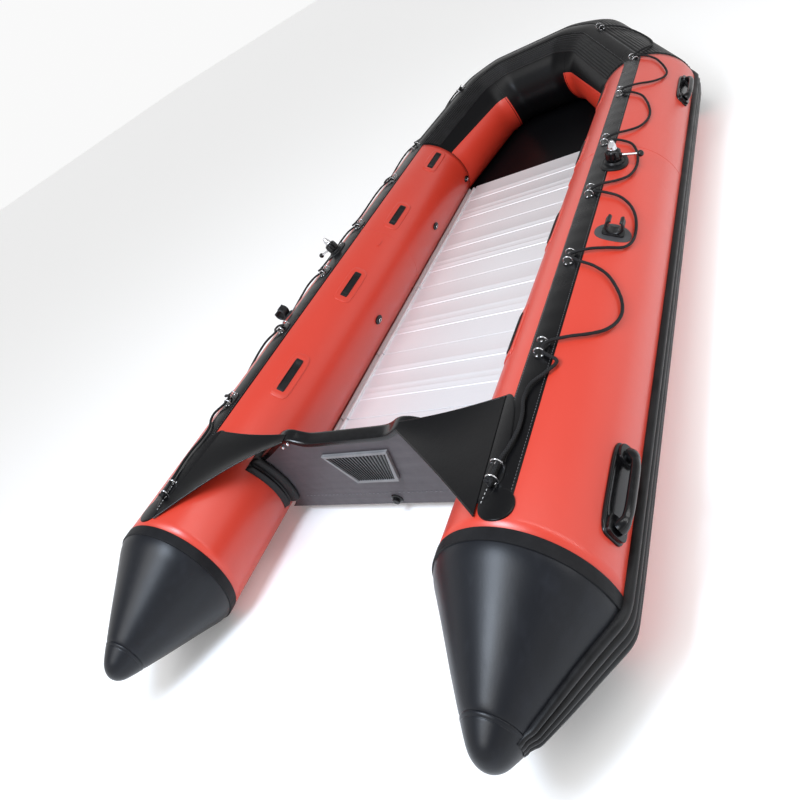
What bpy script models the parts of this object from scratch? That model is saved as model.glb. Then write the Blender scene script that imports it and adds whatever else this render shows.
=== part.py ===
"""Inflatable rowing boat with a panel floor, a wooden transom and two pin rowlocks.

Metres. +X points to the bow, +Y to port, +Z up, and the boat stands on z = 0.
Places along the boat are measured forward from the cone joint, where each end cone meets
its side tube. Places round a tube are angles from its top, positive towards the water.
"""
import math

import bmesh
import bpy
from mathutils import Matrix, Vector

# Driving dimensions
TUBE_RADIUS = 0.240
TUBE_SPACING = 1.430      # between the axes of the side tubes
SIDE_LENGTH = 3.080       # cone joint to bow seam
BOW_REACH = 0.710         # bow seam to the nose axis
NOSE_WIDTH = 0.710        # mitre to mitre, on the axis
BOW_RISE = 0.140          # nose axis above the side tube axis
CONE_LENGTH = 0.415
STRAKE_THICKNESS = 0.020
STRAKE_ANGLES = (89.0, 113.0)
STRIP_ANGLES = (-9.0, 12.0)
STRIP_THICKNESS = 0.003
TRANSOM_PLACE = 0.430     # aft face at the height of the tube axes
TRANSOM_THICKNESS = 0.045
TRANSOM_LEAN = 8.0
TRANSOM_SHOULDER = 0.213  # height above the tube axes
SHOULDER_ACROSS = 0.262   # gusset corner, from the middle of the boat
BOARD_NOTCH = 0.033       # motor notch below the shoulders
BOARD_SIDE_TOP = 0.110    # where the board's curved edge leaves the tube
BOARD_LIFT = 0.035        # board's bottom edge above the ground
HOLDER_FLOOR = 0.010      # rubber between the tube and the edge of the board
HOLDER_DEPTH = 0.040
HOLDER_LIP = 0.055        # fore and aft of the board
HOLDER_ANGLES = (-58.0, -124.0)
CLAMP_THICKNESS = 0.014   # motor plates
DRAIN_HEIGHT = 0.035      # above the board's bottom edge
GUSSET_THICKNESS = 0.003
GUSSET_LIFT = 0.004       # above the tube's skin
GUSSET_CORNERS = ((0.460, -15.0), (0.030, -12.0))   # place and angle, ahead and astern
FLOOR_HEIGHT = 0.055      # floor's top above the ground
FLOOR_THICKNESS = 0.020
FLOOR_WIDTH = 1.000
KEEL_HALF_WIDTH = 0.100
BOW_KEEL_HALF_WIDTH = 0.060
FLOOR_JOINTS = (0.925, 1.372, 1.927, 2.475, 3.085)
STRINGER_WIDTH = 0.045
STRINGER_HEIGHT = 0.030
STRINGER_RIM = 0.012
STRINGER_GROOVE = 0.014
STRINGER_SETBACK = 0.030  # behind the floor's front edge, clear of the bow tube
ROWLOCK_PLACE = 1.830
ROWLOCK_ANGLE = 16.0
SPINDLE_RADIUS = 0.008
SPINDLE_HEIGHT = 0.055
CLIP_PLACE = 1.300
CLIP_ANGLE = 31.0
HANDLE_PLACES = {"aft": 0.240, "forward": 2.770}
HANDLE_ANGLE = 72.0
SEAT_PAD_PLACES = (0.845, 1.515, 2.185, 2.855)
SEAT_PAD_ANGLE = -43.5
VALVE_PLACE = 0.585
VALVE_ANGLE = -100.0
ROPE_DIAMETER = 0.011

# Clearances
GAP = 0.0003              # between pieces that touch
SPINDLE_CLEARANCE = 0.0008
SLOT_CLEARANCE = 0.0005
BOTTOM_CLEARANCE = 0.008  # bottom skin to the tubes
PANEL_JOINT = 0.003       # between floor panels

TUBE_SIDES = 48
SMALL_SIDES = 24
AXIS_HEIGHT = TUBE_RADIUS
FLOOR_TOP = FLOOR_HEIGHT - AXIS_HEIGHT
BOARD_BOTTOM = BOARD_LIFT - AXIS_HEIGHT
HALF_SPACING = TUBE_SPACING / 2
OVERALL = CONE_LENGTH + SIDE_LENGTH + BOW_REACH + TUBE_RADIUS + GAP + STRAKE_THICKNESS
CONE_JOINT = CONE_LENGTH - OVERALL / 2
SIDES = {"port": 1, "starboard": -1}

RED = (0.73, 0.07, 0.045)
BLACK = (0.012, 0.012, 0.014)
CHARCOAL = (0.05, 0.045, 0.052)
GREY = (0.25, 0.25, 0.26)
SILVER = (0.62, 0.63, 0.65)


def clear_scene():
    for thing in list(bpy.data.objects):
        bpy.data.objects.remove(thing, do_unlink=True)


def collection(name, hidden=False):
    group = bpy.data.collections.new(name)
    group.hide_render = hidden
    bpy.context.scene.collection.children.link(group)
    return group


def material(name, colour, roughness, metallic):
    made = bpy.data.materials.new(name)
    made.use_nodes = True
    shader = made.node_tree.nodes["Principled BSDF"]
    shader.inputs["Base Color"].default_value = (*colour, 1.0)
    shader.inputs["Roughness"].default_value = roughness
    shader.inputs["Metallic"].default_value = metallic
    return made


def add_part(name, data, colour, roughness=0.5, metallic=0.0, origin=None):
    """Links a mesh or curve as a named part with its own material."""
    part = bpy.data.objects.new(name, data)
    part.data.materials.append(material(name, colour, roughness, metallic))
    if origin is not None:
        part.location = origin
    boat.objects.link(part)
    return part


def add_tool(name, mesh):
    """A hidden operand of a boolean."""
    tool = bpy.data.objects.new(name, to_mesh(name, mesh))
    tool.display_type = "WIRE"
    tool.hide_render = True
    tools.objects.link(tool)
    return tool


def combine(part, tool, operation):
    step = part.modifiers.new(tool.name, "BOOLEAN")
    step.operation = operation
    step.solver = "EXACT"
    step.object = tool


def to_mesh(name, mesh, origin=None):
    bmesh.ops.recalc_face_normals(mesh, faces=mesh.faces)
    if origin is not None:
        bmesh.ops.translate(mesh, verts=mesh.verts, vec=-origin)
    data = bpy.data.meshes.new(name)
    mesh.to_mesh(data)
    mesh.free()
    return data


def skin(rings):
    """A closed solid through rings that have the same number of corners."""
    mesh = bmesh.new()
    loops = []
    for ring in rings:
        corners = [mesh.verts.new(point) for point in ring]
        loops.append([mesh.edges.new((corners[i - 1], corners[i])) for i in range(len(corners))])
    for loop, following in zip(loops, loops[1:]):
        bmesh.ops.bridge_loops(mesh, edges=loop + following)
    for end in (loops[0], loops[-1]):
        bmesh.ops.contextual_create(mesh, geom=end)
    return mesh


def sweep(path, section, outward, upward):
    """Carries a section of (outward, upward) corners along a path, with mitred bends."""
    runs = [(after - before).normalized() for before, after in zip(path, path[1:])]
    rings = []
    across = outward.copy()
    up = upward.copy()
    for place, point in enumerate(path):
        run = runs[max(place - 1, 0)]
        following = runs[min(place, len(runs) - 1)]
        cut = (run + following).normalized()
        ring = []
        for offset, height in section:
            corner = across * offset + up * height
            ring.append(point + corner - run * (corner.dot(cut) / run.dot(cut)))
        rings.append(ring)
        turn = run.rotation_difference(following)
        across.rotate(turn)
        up.rotate(turn)
    return skin(rings)


def turned(profile, sides=SMALL_SIDES):
    """Turns (radius, height) corners about Z. The profile starts and ends on the axis."""
    mesh = bmesh.new()
    corners = [mesh.verts.new((radius, 0.0, height)) for radius, height in profile]
    edges = [mesh.edges.new(pair) for pair in zip(corners, corners[1:])]
    bmesh.ops.spin(mesh, geom=corners + edges, axis=(0, 0, 1), cent=(0, 0, 0),
                   angle=math.tau, steps=sides, use_merge=True)
    bmesh.ops.remove_doubles(mesh, verts=mesh.verts, dist=1e-6)
    return mesh


def circle(radius, sides):
    return [(radius * math.cos(math.tau * i / sides), radius * math.sin(math.tau * i / sides))
            for i in range(sides)]


def arc_band(inner, outer, first, last, steps):
    """The section of a band round a tube, from its top, whose inner flats touch inner."""
    angles = [math.radians(first + (last - first) * i / steps) for i in range(steps + 1)]
    clear = inner / math.cos((angles[1] - angles[0]) / 2)
    near = [(clear * math.sin(a), clear * math.cos(a)) for a in angles]
    far = [(outer * math.sin(a), outer * math.cos(a)) for a in reversed(angles)]
    return near + far


def boat_path(side):
    """The tube axes of one side: cone joint, bow seam, nose mitre."""
    return [Vector((CONE_JOINT, side * HALF_SPACING, AXIS_HEIGHT)),
            Vector((CONE_JOINT + SIDE_LENGTH, side * HALF_SPACING, AXIS_HEIGHT)),
            Vector((CONE_JOINT + SIDE_LENGTH + BOW_REACH, side * NOSE_WIDTH / 2,
                    AXIS_HEIGHT + BOW_RISE))]


def frame_on_tube(side, place, angle, height=0.0):
    """Forward, outboard and outward axes, and a point on or above the tube's skin."""
    stern, seam, nose = boat_path(side)
    run = Vector((1.0, 0.0, 0.0))
    across = Vector((0.0, side, 0.0))
    up = Vector((0.0, 0.0, 1.0))
    point = stern + run * min(place, SIDE_LENGTH)
    if place > SIDE_LENGTH:
        quarter = (nose - seam).normalized()
        turn = run.rotation_difference(quarter)
        for axis in (run, across, up):
            axis.rotate(turn)
        point = seam + quarter * (place - SIDE_LENGTH)
    a = math.radians(angle)
    out = across * math.sin(a) + up * math.cos(a)
    along = across * math.cos(a) - up * math.sin(a)
    frame = Matrix((run, along, out)).transposed().to_4x4()
    return Matrix.Translation(point + out * (TUBE_RADIUS + height)) @ frame


def wrapped_patch(length, width, thickness, roundness, steps=8):
    """A patch glued round the tube: a square grid rounded towards an oval and bent."""
    mesh = bmesh.new()
    bmesh.ops.create_grid(mesh, x_segments=steps, y_segments=steps, size=1.0)
    for corner in mesh.verts:
        u, v = corner.co.x, corner.co.y
        corner.co.x = u * math.sqrt(1 - roundness * v * v / 2) * length / 2
        corner.co.y = v * math.sqrt(1 - roundness * u * u / 2) * width / 2
    base = mesh.faces[:]
    raised = bmesh.ops.extrude_face_region(mesh, geom=base)["geom"]
    for corner in raised:
        if isinstance(corner, bmesh.types.BMVert):
            corner.co.z = thickness
    for corner in mesh.verts:
        turn = corner.co.y / TUBE_RADIUS
        reach = TUBE_RADIUS + GAP + corner.co.z
        corner.co.y = reach * math.sin(turn)
        corner.co.z = reach * math.cos(turn) - TUBE_RADIUS
    return mesh


def box(size, centre):
    mesh = bmesh.new()
    bmesh.ops.create_cube(mesh, size=1.0)
    bmesh.ops.scale(mesh, verts=mesh.verts, vec=size)
    bmesh.ops.translate(mesh, verts=mesh.verts, vec=centre)
    return mesh


def plate(name, outline, thickness, frame, colour, roughness=0.5, metallic=0.0):
    """A flat outline with half its thickness on each side of the frame's plane."""
    shape = bpy.data.curves.new(name, "CURVE")
    shape.dimensions = "2D"
    shape.fill_mode = "BOTH"
    shape.extrude = thickness / 2
    line = shape.splines.new("POLY")
    line.points.add(len(outline) - 1)
    for corner, (x, y) in zip(line.points, outline):
        corner.co = (x, y, 0.0, 1.0)
    line.use_cyclic_u = True
    part = add_part(name, shape, colour, roughness, metallic)
    part.matrix_world = frame
    return part


def mirrored(half):
    """A closed outline from its port half, listed from the bottom up."""
    return half + [(-x, y) for x, y in reversed(half) if abs(x) > 1e-9]


def build_tubes():
    section = circle(TUBE_RADIUS, TUBE_SIDES)
    for name, side in SIDES.items():
        stern, seam, nose = boat_path(side)
        start = stern + Vector((GAP / 2, 0, 0))
        tube = sweep([start, seam, nose], section, Vector((0, side, 0)), Vector((0, 0, 1)))
        keep_aft_of_seam(tube, side)
        add_part(f"{name}_tube", to_mesh(f"{name}_tube", tube), RED, 0.42)
    add_part("bow_tube", to_mesh("bow_tube", bow_round(section)), BLACK, 0.45)


def seam_plane(side):
    stern, seam, nose = boat_path(side)
    return seam, ((seam - stern).normalized() + (nose - seam).normalized()).normalized()


def trim(mesh, point, normal):
    """Keeps what lies behind a plane and closes the cut."""
    everything = mesh.verts[:] + mesh.edges[:] + mesh.faces[:]
    cut = bmesh.ops.bisect_plane(mesh, geom=everything, plane_co=point, plane_no=normal,
                                 clear_outer=True)["geom_cut"]
    edges = [item for item in cut if isinstance(item, bmesh.types.BMEdge)]
    bmesh.ops.contextual_create(mesh, geom=edges)


def keep_aft_of_seam(mesh, side):
    seam, normal = seam_plane(side)
    trim(mesh, seam - normal * GAP / 2, normal)


def cut_at_seam(mesh, side):
    seam, normal = seam_plane(side)
    trim(mesh, seam + normal * GAP / 2, -normal)


def build_cones():
    profile = [(0.000, 0.000), (1.000, 0.000), (0.995, 0.070), (0.955, 0.145), (0.860, 0.240),
               (0.745, 0.360), (0.635, 0.480), (0.520, 0.605), (0.405, 0.725), (0.325, 0.810),
               (0.290, 0.822), (0.240, 0.895), (0.180, 0.950), (0.090, 0.988), (0.000, 1.000)]
    for name, side in SIDES.items():
        cone = turned([(r * TUBE_RADIUS, h * (CONE_LENGTH - GAP)) for r, h in profile], TUBE_SIDES)
        joint = boat_path(side)[0]
        aft = Matrix.Translation(joint - Vector((GAP / 2, 0, 0))) @ Matrix.Rotation(-math.pi / 2, 4, "Y")
        bmesh.ops.transform(cone, verts=cone.verts, matrix=aft)
        add_part(f"{name}_end_cone", to_mesh(f"{name}_end_cone", cone), BLACK, 0.3)


def bow_round(section):
    """A section carried round the whole bow from seam to seam, trimmed at the seams."""
    port, starboard = boat_path(1), boat_path(-1)
    path = [port[0], port[1], port[2], starboard[2], starboard[1], starboard[0]]
    mesh = sweep(path, section, Vector((0, 1, 0)), Vector((0, 0, 1)))
    for side in SIDES.values():
        cut_at_seam(mesh, side)
    return mesh


def build_strakes_and_strips():
    foot = TUBE_RADIUS + GAP
    first, last = STRAKE_ANGLES
    inset = 5.0
    strake = arc_band(foot, foot + STRAKE_THICKNESS * 0.55, first, last, 6)
    crown = arc_band(foot, foot + STRAKE_THICKNESS, first + inset, last - inset, 4)
    outline = strake[:7] + [strake[7]] + crown[5:] + [strake[-1]]
    strip = arc_band(foot, foot + STRIP_THICKNESS, *STRIP_ANGLES, 6)
    pieces = (("rub_strake", outline, CHARCOAL, 0.6), ("line_strip", strip, BLACK, 0.55))
    for kind, section, colour, roughness in pieces:
        for name, side in SIDES.items():
            stern, seam, nose = boat_path(side)
            mesh = sweep([stern, seam, nose], section, Vector((0, side, 0)), Vector((0, 0, 1)))
            keep_aft_of_seam(mesh, side)
            add_part(f"{name}_{kind}", to_mesh(f"{name}_{kind}", mesh), colour, roughness)
        add_part(f"bow_{kind}", to_mesh(f"bow_{kind}", bow_round(section)), colour, roughness)


def transom_frame(offset):
    """Port, up-the-board and forward axes; offset moves the plane forward from the aft face."""
    lean = math.radians(TRANSOM_LEAN)
    up = Vector((-math.sin(lean), 0.0, math.cos(lean)))
    forward = Vector((math.cos(lean), 0.0, math.sin(lean)))
    point = Vector((CONE_JOINT + TRANSOM_PLACE, 0.0, AXIS_HEIGHT)) + forward * offset
    frame = Matrix((Vector((0.0, 1.0, 0.0)), up, forward)).transposed().to_4x4()
    return Matrix.Translation(point) @ frame


def build_transom():
    lean = math.radians(TRANSOM_LEAN)
    skew = TRANSOM_THICKNESS / 2 * math.sin(lean)
    steps = 12
    reach = TUBE_RADIUS + HOLDER_FLOOR + SLOT_CLEARANCE + GAP + skew
    low = math.pi + math.asin(-BOARD_BOTTOM / reach)
    high = math.pi - math.asin(BOARD_SIDE_TOP / reach)
    reach /= math.cos((low - high) / steps / 2)
    edge = [(HALF_SPACING + reach * math.cos(a), (reach * math.sin(a) - skew) / math.cos(lean))
            for a in (low + (high - low) * i / steps for i in range(steps + 1))]
    top = TRANSOM_SHOULDER
    half = [(0.0, edge[0][1]), *edge, (0.300, top - 0.010), (0.280, top), (0.240, top),
            (0.195, top - BOARD_NOTCH), (0.0, top - BOARD_NOTCH)]
    board = transom_frame(TRANSOM_THICKNESS / 2)
    plate("transom_board", mirrored(half), TRANSOM_THICKNESS, board, CHARCOAL, 0.5)
    clamp = CLAMP_THICKNESS
    outer = [(0.095, -0.050), (0.150, 0.115)]
    plate("motor_plate_outer", mirrored(outer), clamp, transom_frame(-clamp / 2 - GAP), GREY, 0.5)
    inner = [(0.130, -0.040), (0.130, 0.120)]
    forward = transom_frame(TRANSOM_THICKNESS + clamp / 2 + GAP)
    plate("motor_plate_inner", mirrored(inner), clamp, forward, GREY, 0.5)
    plug = turned([(0, GAP), (0.022, GAP), (0.022, 0.006), (0.014, 0.009), (0.014, 0.018), (0, 0.018)])
    outward = transom_frame(0.0) @ Matrix.Translation((0.0, BOARD_BOTTOM + DRAIN_HEIGHT, 0.0))
    bmesh.ops.transform(plug, verts=plug.verts, matrix=outward @ Matrix.Rotation(math.pi, 4, "Y"))
    add_part("drain_plug", to_mesh("drain_plug", plug), BLACK, 0.4)


def tube_sector(side, first, last, inner, outer, angles, steps, lean):
    """A block round the tube between two places, leaning with the transom by lean."""
    rings = []
    for place in (first, last):
        ring = []
        for offset, height in arc_band(inner, outer, *angles, steps):
            across = side * (HALF_SPACING + offset)
            ring.append(Vector((CONE_JOINT + place - math.tan(lean) * height, across,
                                AXIS_HEIGHT + height)))
        rings.append(ring)
    return skin(rings)


def build_transom_holders():
    lean = math.radians(TRANSOM_LEAN)
    thickness = TRANSOM_THICKNESS / math.cos(lean)
    lip = HOLDER_LIP
    for name, side in SIDES.items():
        holder = tube_sector(side, TRANSOM_PLACE - lip, TRANSOM_PLACE + thickness + lip,
                             TUBE_RADIUS + GAP, TUBE_RADIUS + HOLDER_DEPTH, HOLDER_ANGLES, 10, lean)
        slot = tube_sector(side, TRANSOM_PLACE - SLOT_CLEARANCE,
                           TRANSOM_PLACE + thickness + SLOT_CLEARANCE,
                           TUBE_RADIUS + HOLDER_FLOOR, TUBE_RADIUS + 2 * HOLDER_DEPTH,
                           (HOLDER_ANGLES[0] + 20, HOLDER_ANGLES[1] - 20), 16, lean)
        part = add_part(f"{name}_transom_holder", to_mesh(f"{name}_transom_holder", holder), BLACK, 0.5)
        combine(part, add_tool(f"{name}_transom_slot", slot), "DIFFERENCE")


def build_gussets():
    thickness = GUSSET_THICKNESS
    (ahead_place, ahead_angle), (astern_place, astern_angle) = GUSSET_CORNERS
    lift = GUSSET_LIFT + thickness / 2
    for name, side in SIDES.items():
        lean = math.tan(math.radians(TRANSOM_LEAN))
        top = TRANSOM_SHOULDER
        shoulder = Vector((CONE_JOINT + TRANSOM_PLACE - lean * top + 0.010, side * SHOULDER_ACROSS,
                           AXIS_HEIGHT + top + thickness))
        ahead = frame_on_tube(side, ahead_place, ahead_angle, lift).translation
        astern = frame_on_tube(side, astern_place, astern_angle, lift).translation
        across = (ahead - shoulder).normalized()
        normal = across.cross(astern - shoulder).normalized()
        frame = Matrix((across, normal.cross(across), normal)).transposed().to_4x4()
        frame.translation = shoulder
        flat = [frame.inverted() @ corner for corner in (shoulder, ahead, astern)]
        outline = [(corner.x, corner.y) for corner in flat]
        plate(f"{name}_transom_gusset", outline, thickness, frame, BLACK, 0.55)


def build_floor():
    first = TRANSOM_PLACE + TRANSOM_THICKNESS / math.cos(math.radians(TRANSOM_LEAN))
    first += math.tan(math.radians(TRANSOM_LEAN)) * (FLOOR_THICKNESS - FLOOR_TOP) + 0.002
    edges = [first, *FLOOR_JOINTS]
    height = AXIS_HEIGHT + FLOOR_TOP - FLOOR_THICKNESS / 2
    for number, (aft, fore) in enumerate(zip(edges, edges[1:]), start=1):
        size = Vector((fore - aft - PANEL_JOINT, FLOOR_WIDTH - 2 * GAP, FLOOR_THICKNESS))
        panel = box(size, Vector((CONE_JOINT + (aft + fore) / 2, 0.0, height)))
        part = add_part(f"floor_panel_{number}", to_mesh(f"floor_panel_{number}", panel), SILVER, 0.4, 0.6)
        edge = part.modifiers.new("edge", "BEVEL")
        edge.width = 0.0015
        edge.segments = 1
    inner = FLOOR_WIDTH / 2
    foot = FLOOR_TOP - FLOOR_THICKNESS
    rim, groove = STRINGER_RIM, STRINGER_GROOVE
    section = [(inner, foot), (inner + STRINGER_WIDTH, foot),
               (inner + STRINGER_WIDTH, foot + STRINGER_HEIGHT),
               (inner + STRINGER_WIDTH - rim, foot + STRINGER_HEIGHT),
               (inner + STRINGER_WIDTH - rim, foot + STRINGER_HEIGHT - groove),
               (inner + rim, foot + STRINGER_HEIGHT - groove),
               (inner + rim, foot + STRINGER_HEIGHT), (inner, foot + STRINGER_HEIGHT)]
    for name, side in SIDES.items():
        ends = (edges[0], edges[-1] - STRINGER_SETBACK)
        path = [Vector((CONE_JOINT + place, 0.0, AXIS_HEIGHT)) for place in ends]
        mesh = sweep(path, section, Vector((0, side, 0)), Vector((0, 0, 1)))
        add_part(f"{name}_floor_stringer", to_mesh(f"{name}_floor_stringer", mesh), SILVER, 0.35, 0.8)


def build_hull_bottom():
    """The bottom skin with its keel, flat enough to stand on, swept up under the bow."""
    top = FLOOR_TOP - FLOOR_THICKNESS - GAP
    room = math.sqrt(TUBE_RADIUS ** 2 - top ** 2) + BOTTOM_CLEARANCE
    bow_length = math.hypot(BOW_REACH, HALF_SPACING - NOSE_WIDTH / 2)
    stations = []
    for place in (0.550, 2.900, FLOOR_JOINTS[-1]):
        stations.append((place, top, HALF_SPACING - room, KEEL_HALF_WIDTH, TUBE_RADIUS - 0.004))
    for share in (0.25, 0.5, 0.75):
        place = SIDE_LENGTH + BOW_REACH * share
        half = HALF_SPACING - (HALF_SPACING - NOSE_WIDTH / 2) * share
        bow_room = room * (bow_length / BOW_REACH) ** 2
        rise = BOW_RISE * share
        stations.append((place, top + rise, half - bow_room, BOW_KEEL_HALF_WIDTH,
                         TUBE_RADIUS - 0.015 - rise))
    rings = []
    for place, height, half, keel, depth in stations:
        x = CONE_JOINT + place
        corners = ((-half, height), (half, height), (half + 0.012, height - 0.010),
                   (keel, -depth), (-keel, -depth), (-half - 0.012, height - 0.010))
        rings.append([Vector((x, y, AXIS_HEIGHT + z)) for y, z in corners])
    add_part("hull_bottom", to_mesh("hull_bottom", skin(rings)), CHARCOAL, 0.5)


def build_rowlocks():
    patch_length = 0.150
    boss, boss_height = 0.034, 0.016
    spindle_height = SPINDLE_HEIGHT
    foot = 0.004
    sleeve = 0.032
    seat = boss_height + 0.001
    bore = SPINDLE_RADIUS + SPINDLE_CLEARANCE
    body = [(0, spindle_height + 0.002), (bore, spindle_height + 0.002), (bore, seat), (0.026, seat),
            (sleeve, seat + 0.006), (sleeve, 0.058), (0.024, 0.064), (0.019, 0.066), (0.017, 0.082),
            (0.008, 0.104), (0, 0.106)]
    pin_radius, pin_length, knob = 0.006, 0.105, 0.014
    pin_height = 0.036
    for name, side in SIDES.items():
        frame = frame_on_tube(side, ROWLOCK_PLACE, ROWLOCK_ANGLE)
        base = wrapped_patch(patch_length, 0.110, 0.009, 1.0)
        bmesh.ops.transform(base, verts=base.verts, matrix=frame)
        part = add_part(f"{name}_rowlock_base", to_mesh(f"{name}_rowlock_base", base), BLACK, 0.5)
        post = turned([(0, foot), (boss, foot), (boss, boss_height), (SPINDLE_RADIUS, boss_height),
                       (SPINDLE_RADIUS, spindle_height), (0, spindle_height)])
        bmesh.ops.transform(post, verts=post.verts, matrix=frame)
        combine(part, add_tool(f"{name}_rowlock_post", post), "UNION")
        relief = tube_sector(side, ROWLOCK_PLACE - patch_length, ROWLOCK_PLACE + patch_length,
                             TUBE_RADIUS - STRIP_THICKNESS, TUBE_RADIUS + STRIP_THICKNESS + 2 * GAP,
                             (STRIP_ANGLES[0] - 1.0, STRIP_ANGLES[1] + 0.1), 21, 0.0)
        combine(part, add_tool(f"{name}_rowlock_strip_relief", relief), "DIFFERENCE")

        origin = frame.translation
        swivel = turned(body)
        bmesh.ops.transform(swivel, verts=swivel.verts, matrix=frame)
        mesh = to_mesh(f"{name}_rowlock_swivel", swivel, origin)
        part = add_part(f"{name}_rowlock_swivel", mesh, BLACK, 0.25, origin=origin)
        start = 0.020
        outboard = Matrix.Translation((0, start, pin_height)) @ Matrix.Rotation(-math.pi / 2, 4, "X")
        pin = turned([(0, 0), (pin_radius, 0), (pin_radius, pin_length - start - knob * 0.6),
                      (knob * 0.8, pin_length - start - knob * 0.5),
                      (knob, pin_length - start), (knob * 0.8, pin_length - start + knob * 0.6),
                      (0, pin_length - start + knob)], 16)
        bmesh.ops.transform(pin, verts=pin.verts, matrix=frame @ outboard)
        combine(part, add_tool(f"{name}_rowlock_pin", pin), "UNION")


def build_oar_clips():
    outer, inner = 0.034, 0.024
    mouth = 105.0
    thickness = 0.006
    steps = 14
    first, last = math.radians(90 + mouth / 2), math.radians(450 - mouth / 2)
    angles = [first + (last - first) * i / steps for i in range(steps + 1)]
    section = [(outer * math.cos(a), outer * math.sin(a)) for a in angles]
    section += [(inner * math.cos(a), inner * math.sin(a)) for a in reversed(angles)]
    for name, side in SIDES.items():
        frame = frame_on_tube(side, CLIP_PLACE, CLIP_ANGLE)
        base = wrapped_patch(0.062, 0.130, thickness, 1.0)
        bmesh.ops.transform(base, verts=base.verts, matrix=frame)
        part = add_part(f"{name}_oar_clip", to_mesh(f"{name}_oar_clip", base), CHARCOAL, 0.55)
        path = [Vector((along, 0.0, outer + 0.003)) for along in (-0.020, 0.020)]
        clip = sweep(path, section, Vector((0, 1, 0)), Vector((0, 0, 1)))
        bmesh.ops.transform(clip, verts=clip.verts, matrix=frame)
        combine(part, add_tool(f"{name}_oar_clip_jaws", clip), "UNION")


def build_carry_handles():
    grip, half_grip, stand = 0.010, 0.085, 0.042
    lug = 0.115
    for name, side in SIDES.items():
        for end, place in HANDLE_PLACES.items():
            title = f"{name}_{end}_handle"
            frame = frame_on_tube(side, place, HANDLE_ANGLE)
            base = wrapped_patch(0.290, 0.080, 0.008, 0.8)
            bmesh.ops.transform(base, verts=base.verts, matrix=frame)
            part = add_part(title, to_mesh(title, base), BLACK, 0.5)
            path = [Vector((along, 0.0, height)) for along, height in
                    ((-lug, 0.004), (-lug, 0.018), (-half_grip, stand - 0.005), (-half_grip / 2, stand),
                     (half_grip / 2, stand), (half_grip, stand - 0.005), (lug, 0.018), (lug, 0.004))]
            bar = sweep(path, circle(grip, 14), Vector((0, 1, 0)), Vector((1, 0, 0)))
            bmesh.ops.transform(bar, verts=bar.verts, matrix=frame)
            combine(part, add_tool(f"{title}_bar", bar), "UNION")


def build_seat_pads():
    for name, side in SIDES.items():
        for number, place in enumerate(SEAT_PAD_PLACES, start=1):
            title = f"{name}_seat_pad_{number}"
            pad = wrapped_patch(0.270, 0.090, 0.006, 0.5)
            frame = frame_on_tube(side, place, SEAT_PAD_ANGLE)
            bmesh.ops.transform(pad, verts=pad.verts, matrix=frame)
            add_part(title, to_mesh(title, pad), RED, 0.45)


def build_valves():
    profile = [(0, 0.003), (0.032, 0.003), (0.032, 0.007), (0.024, 0.010), (0.022, 0.016), (0, 0.017)]
    for name, side in SIDES.items():
        valve = turned(profile)
        frame = frame_on_tube(side, VALVE_PLACE, VALVE_ANGLE)
        bmesh.ops.transform(valve, verts=valve.verts, matrix=frame)
        add_part(f"{name}_air_valve", to_mesh(f"{name}_air_valve", valve), BLACK, 0.5)


# The lifeline's own route on each side: place, angle and height above the skin.
ROPE_ROUTE = (
    (0.128, -3, 0.016), (0.194, -1, 0.016), (0.265, 3, 0.0125), (0.340, 4.5, 0.0125),
    (0.420, 1.5, 0.0125), (0.480, 3, 0.0125), (0.528, 11, 0.0125), (0.562, 17, 0.012),
    (0.596, 13, 0.013), (0.645, 2, 0.017), (0.740, 38, 0.012), (0.885, 50, 0.010),
    (1.030, 34, 0.012), (1.130, 2, 0.017), (1.215, 42, 0.011), (1.389, 47, 0.010),
    (1.520, 34, 0.012), (1.597, 2, 0.017), (1.680, 29, 0.012), (1.830, 37, 0.011),
    (1.985, 28, 0.012), (2.055, 1, 0.017), (2.140, 28, 0.012), (2.310, 38, 0.010),
    (2.500, 26, 0.012), (2.597, 0, 0.017), (2.680, 32, 0.012), (2.830, 46, 0.011),
    (2.990, 30, 0.012), (3.085, 2, 0.018), (3.190, 34, 0.012), (3.340, 50, 0.011),
    (3.480, 52, 0.011), (3.600, 36, 0.012), (3.680, 12, 0.016),
)
ROPE_POINTS = 78


def smooth_line(points, count):
    """Evenly spaced points on a Catmull-Rom curve through the given points."""
    padded = [points[0] * 2 - points[1], *points, points[-1] * 2 - points[-2]]
    fine = []
    steps = 24
    for a, b, c, d in zip(padded, padded[1:], padded[2:], padded[3:]):
        for i in range(steps):
            t = i / steps
            fine.append(((2 * b) + (c - a) * t + (2 * a - 5 * b + 4 * c - d) * t ** 2
                         + (3 * b - a - 3 * c + d) * t ** 3) / 2)
    fine.append(points[-1])
    lengths = [0.0]
    for before, after in zip(fine, fine[1:]):
        lengths.append(lengths[-1] + (after - before).length)
    line = []
    place = 0
    for i in range(count):
        target = lengths[-1] * i / (count - 1)
        while place < len(lengths) - 2 and lengths[place + 1] < target:
            place += 1
        share = (target - lengths[place]) / (lengths[place + 1] - lengths[place])
        line.append(fine[place].lerp(fine[place + 1], share))
    return line


def build_lifelines():
    route = [Vector((place, math.radians(angle) * TUBE_RADIUS, height))
             for place, angle, height in ROPE_ROUTE]
    corners = [(place, math.degrees(arc / TUBE_RADIUS), height)
               for place, arc, height in smooth_line(route, ROPE_POINTS)]
    for name, side in SIDES.items():
        rope = bpy.data.curves.new(f"{name}_lifeline", "CURVE")
        rope.dimensions = "3D"
        rope.bevel_depth = ROPE_DIAMETER / 2
        rope.bevel_resolution = 2
        rope.use_fill_caps = True
        line = rope.splines.new("POLY")
        points = [frame_on_tube(side, *corner).translation for corner in corners]
        line.points.add(len(points) - 1)
        for corner, point in zip(line.points, points):
            corner.co = (*point, 1.0)
        add_part(f"{name}_lifeline", rope, BLACK, 0.7)


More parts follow.
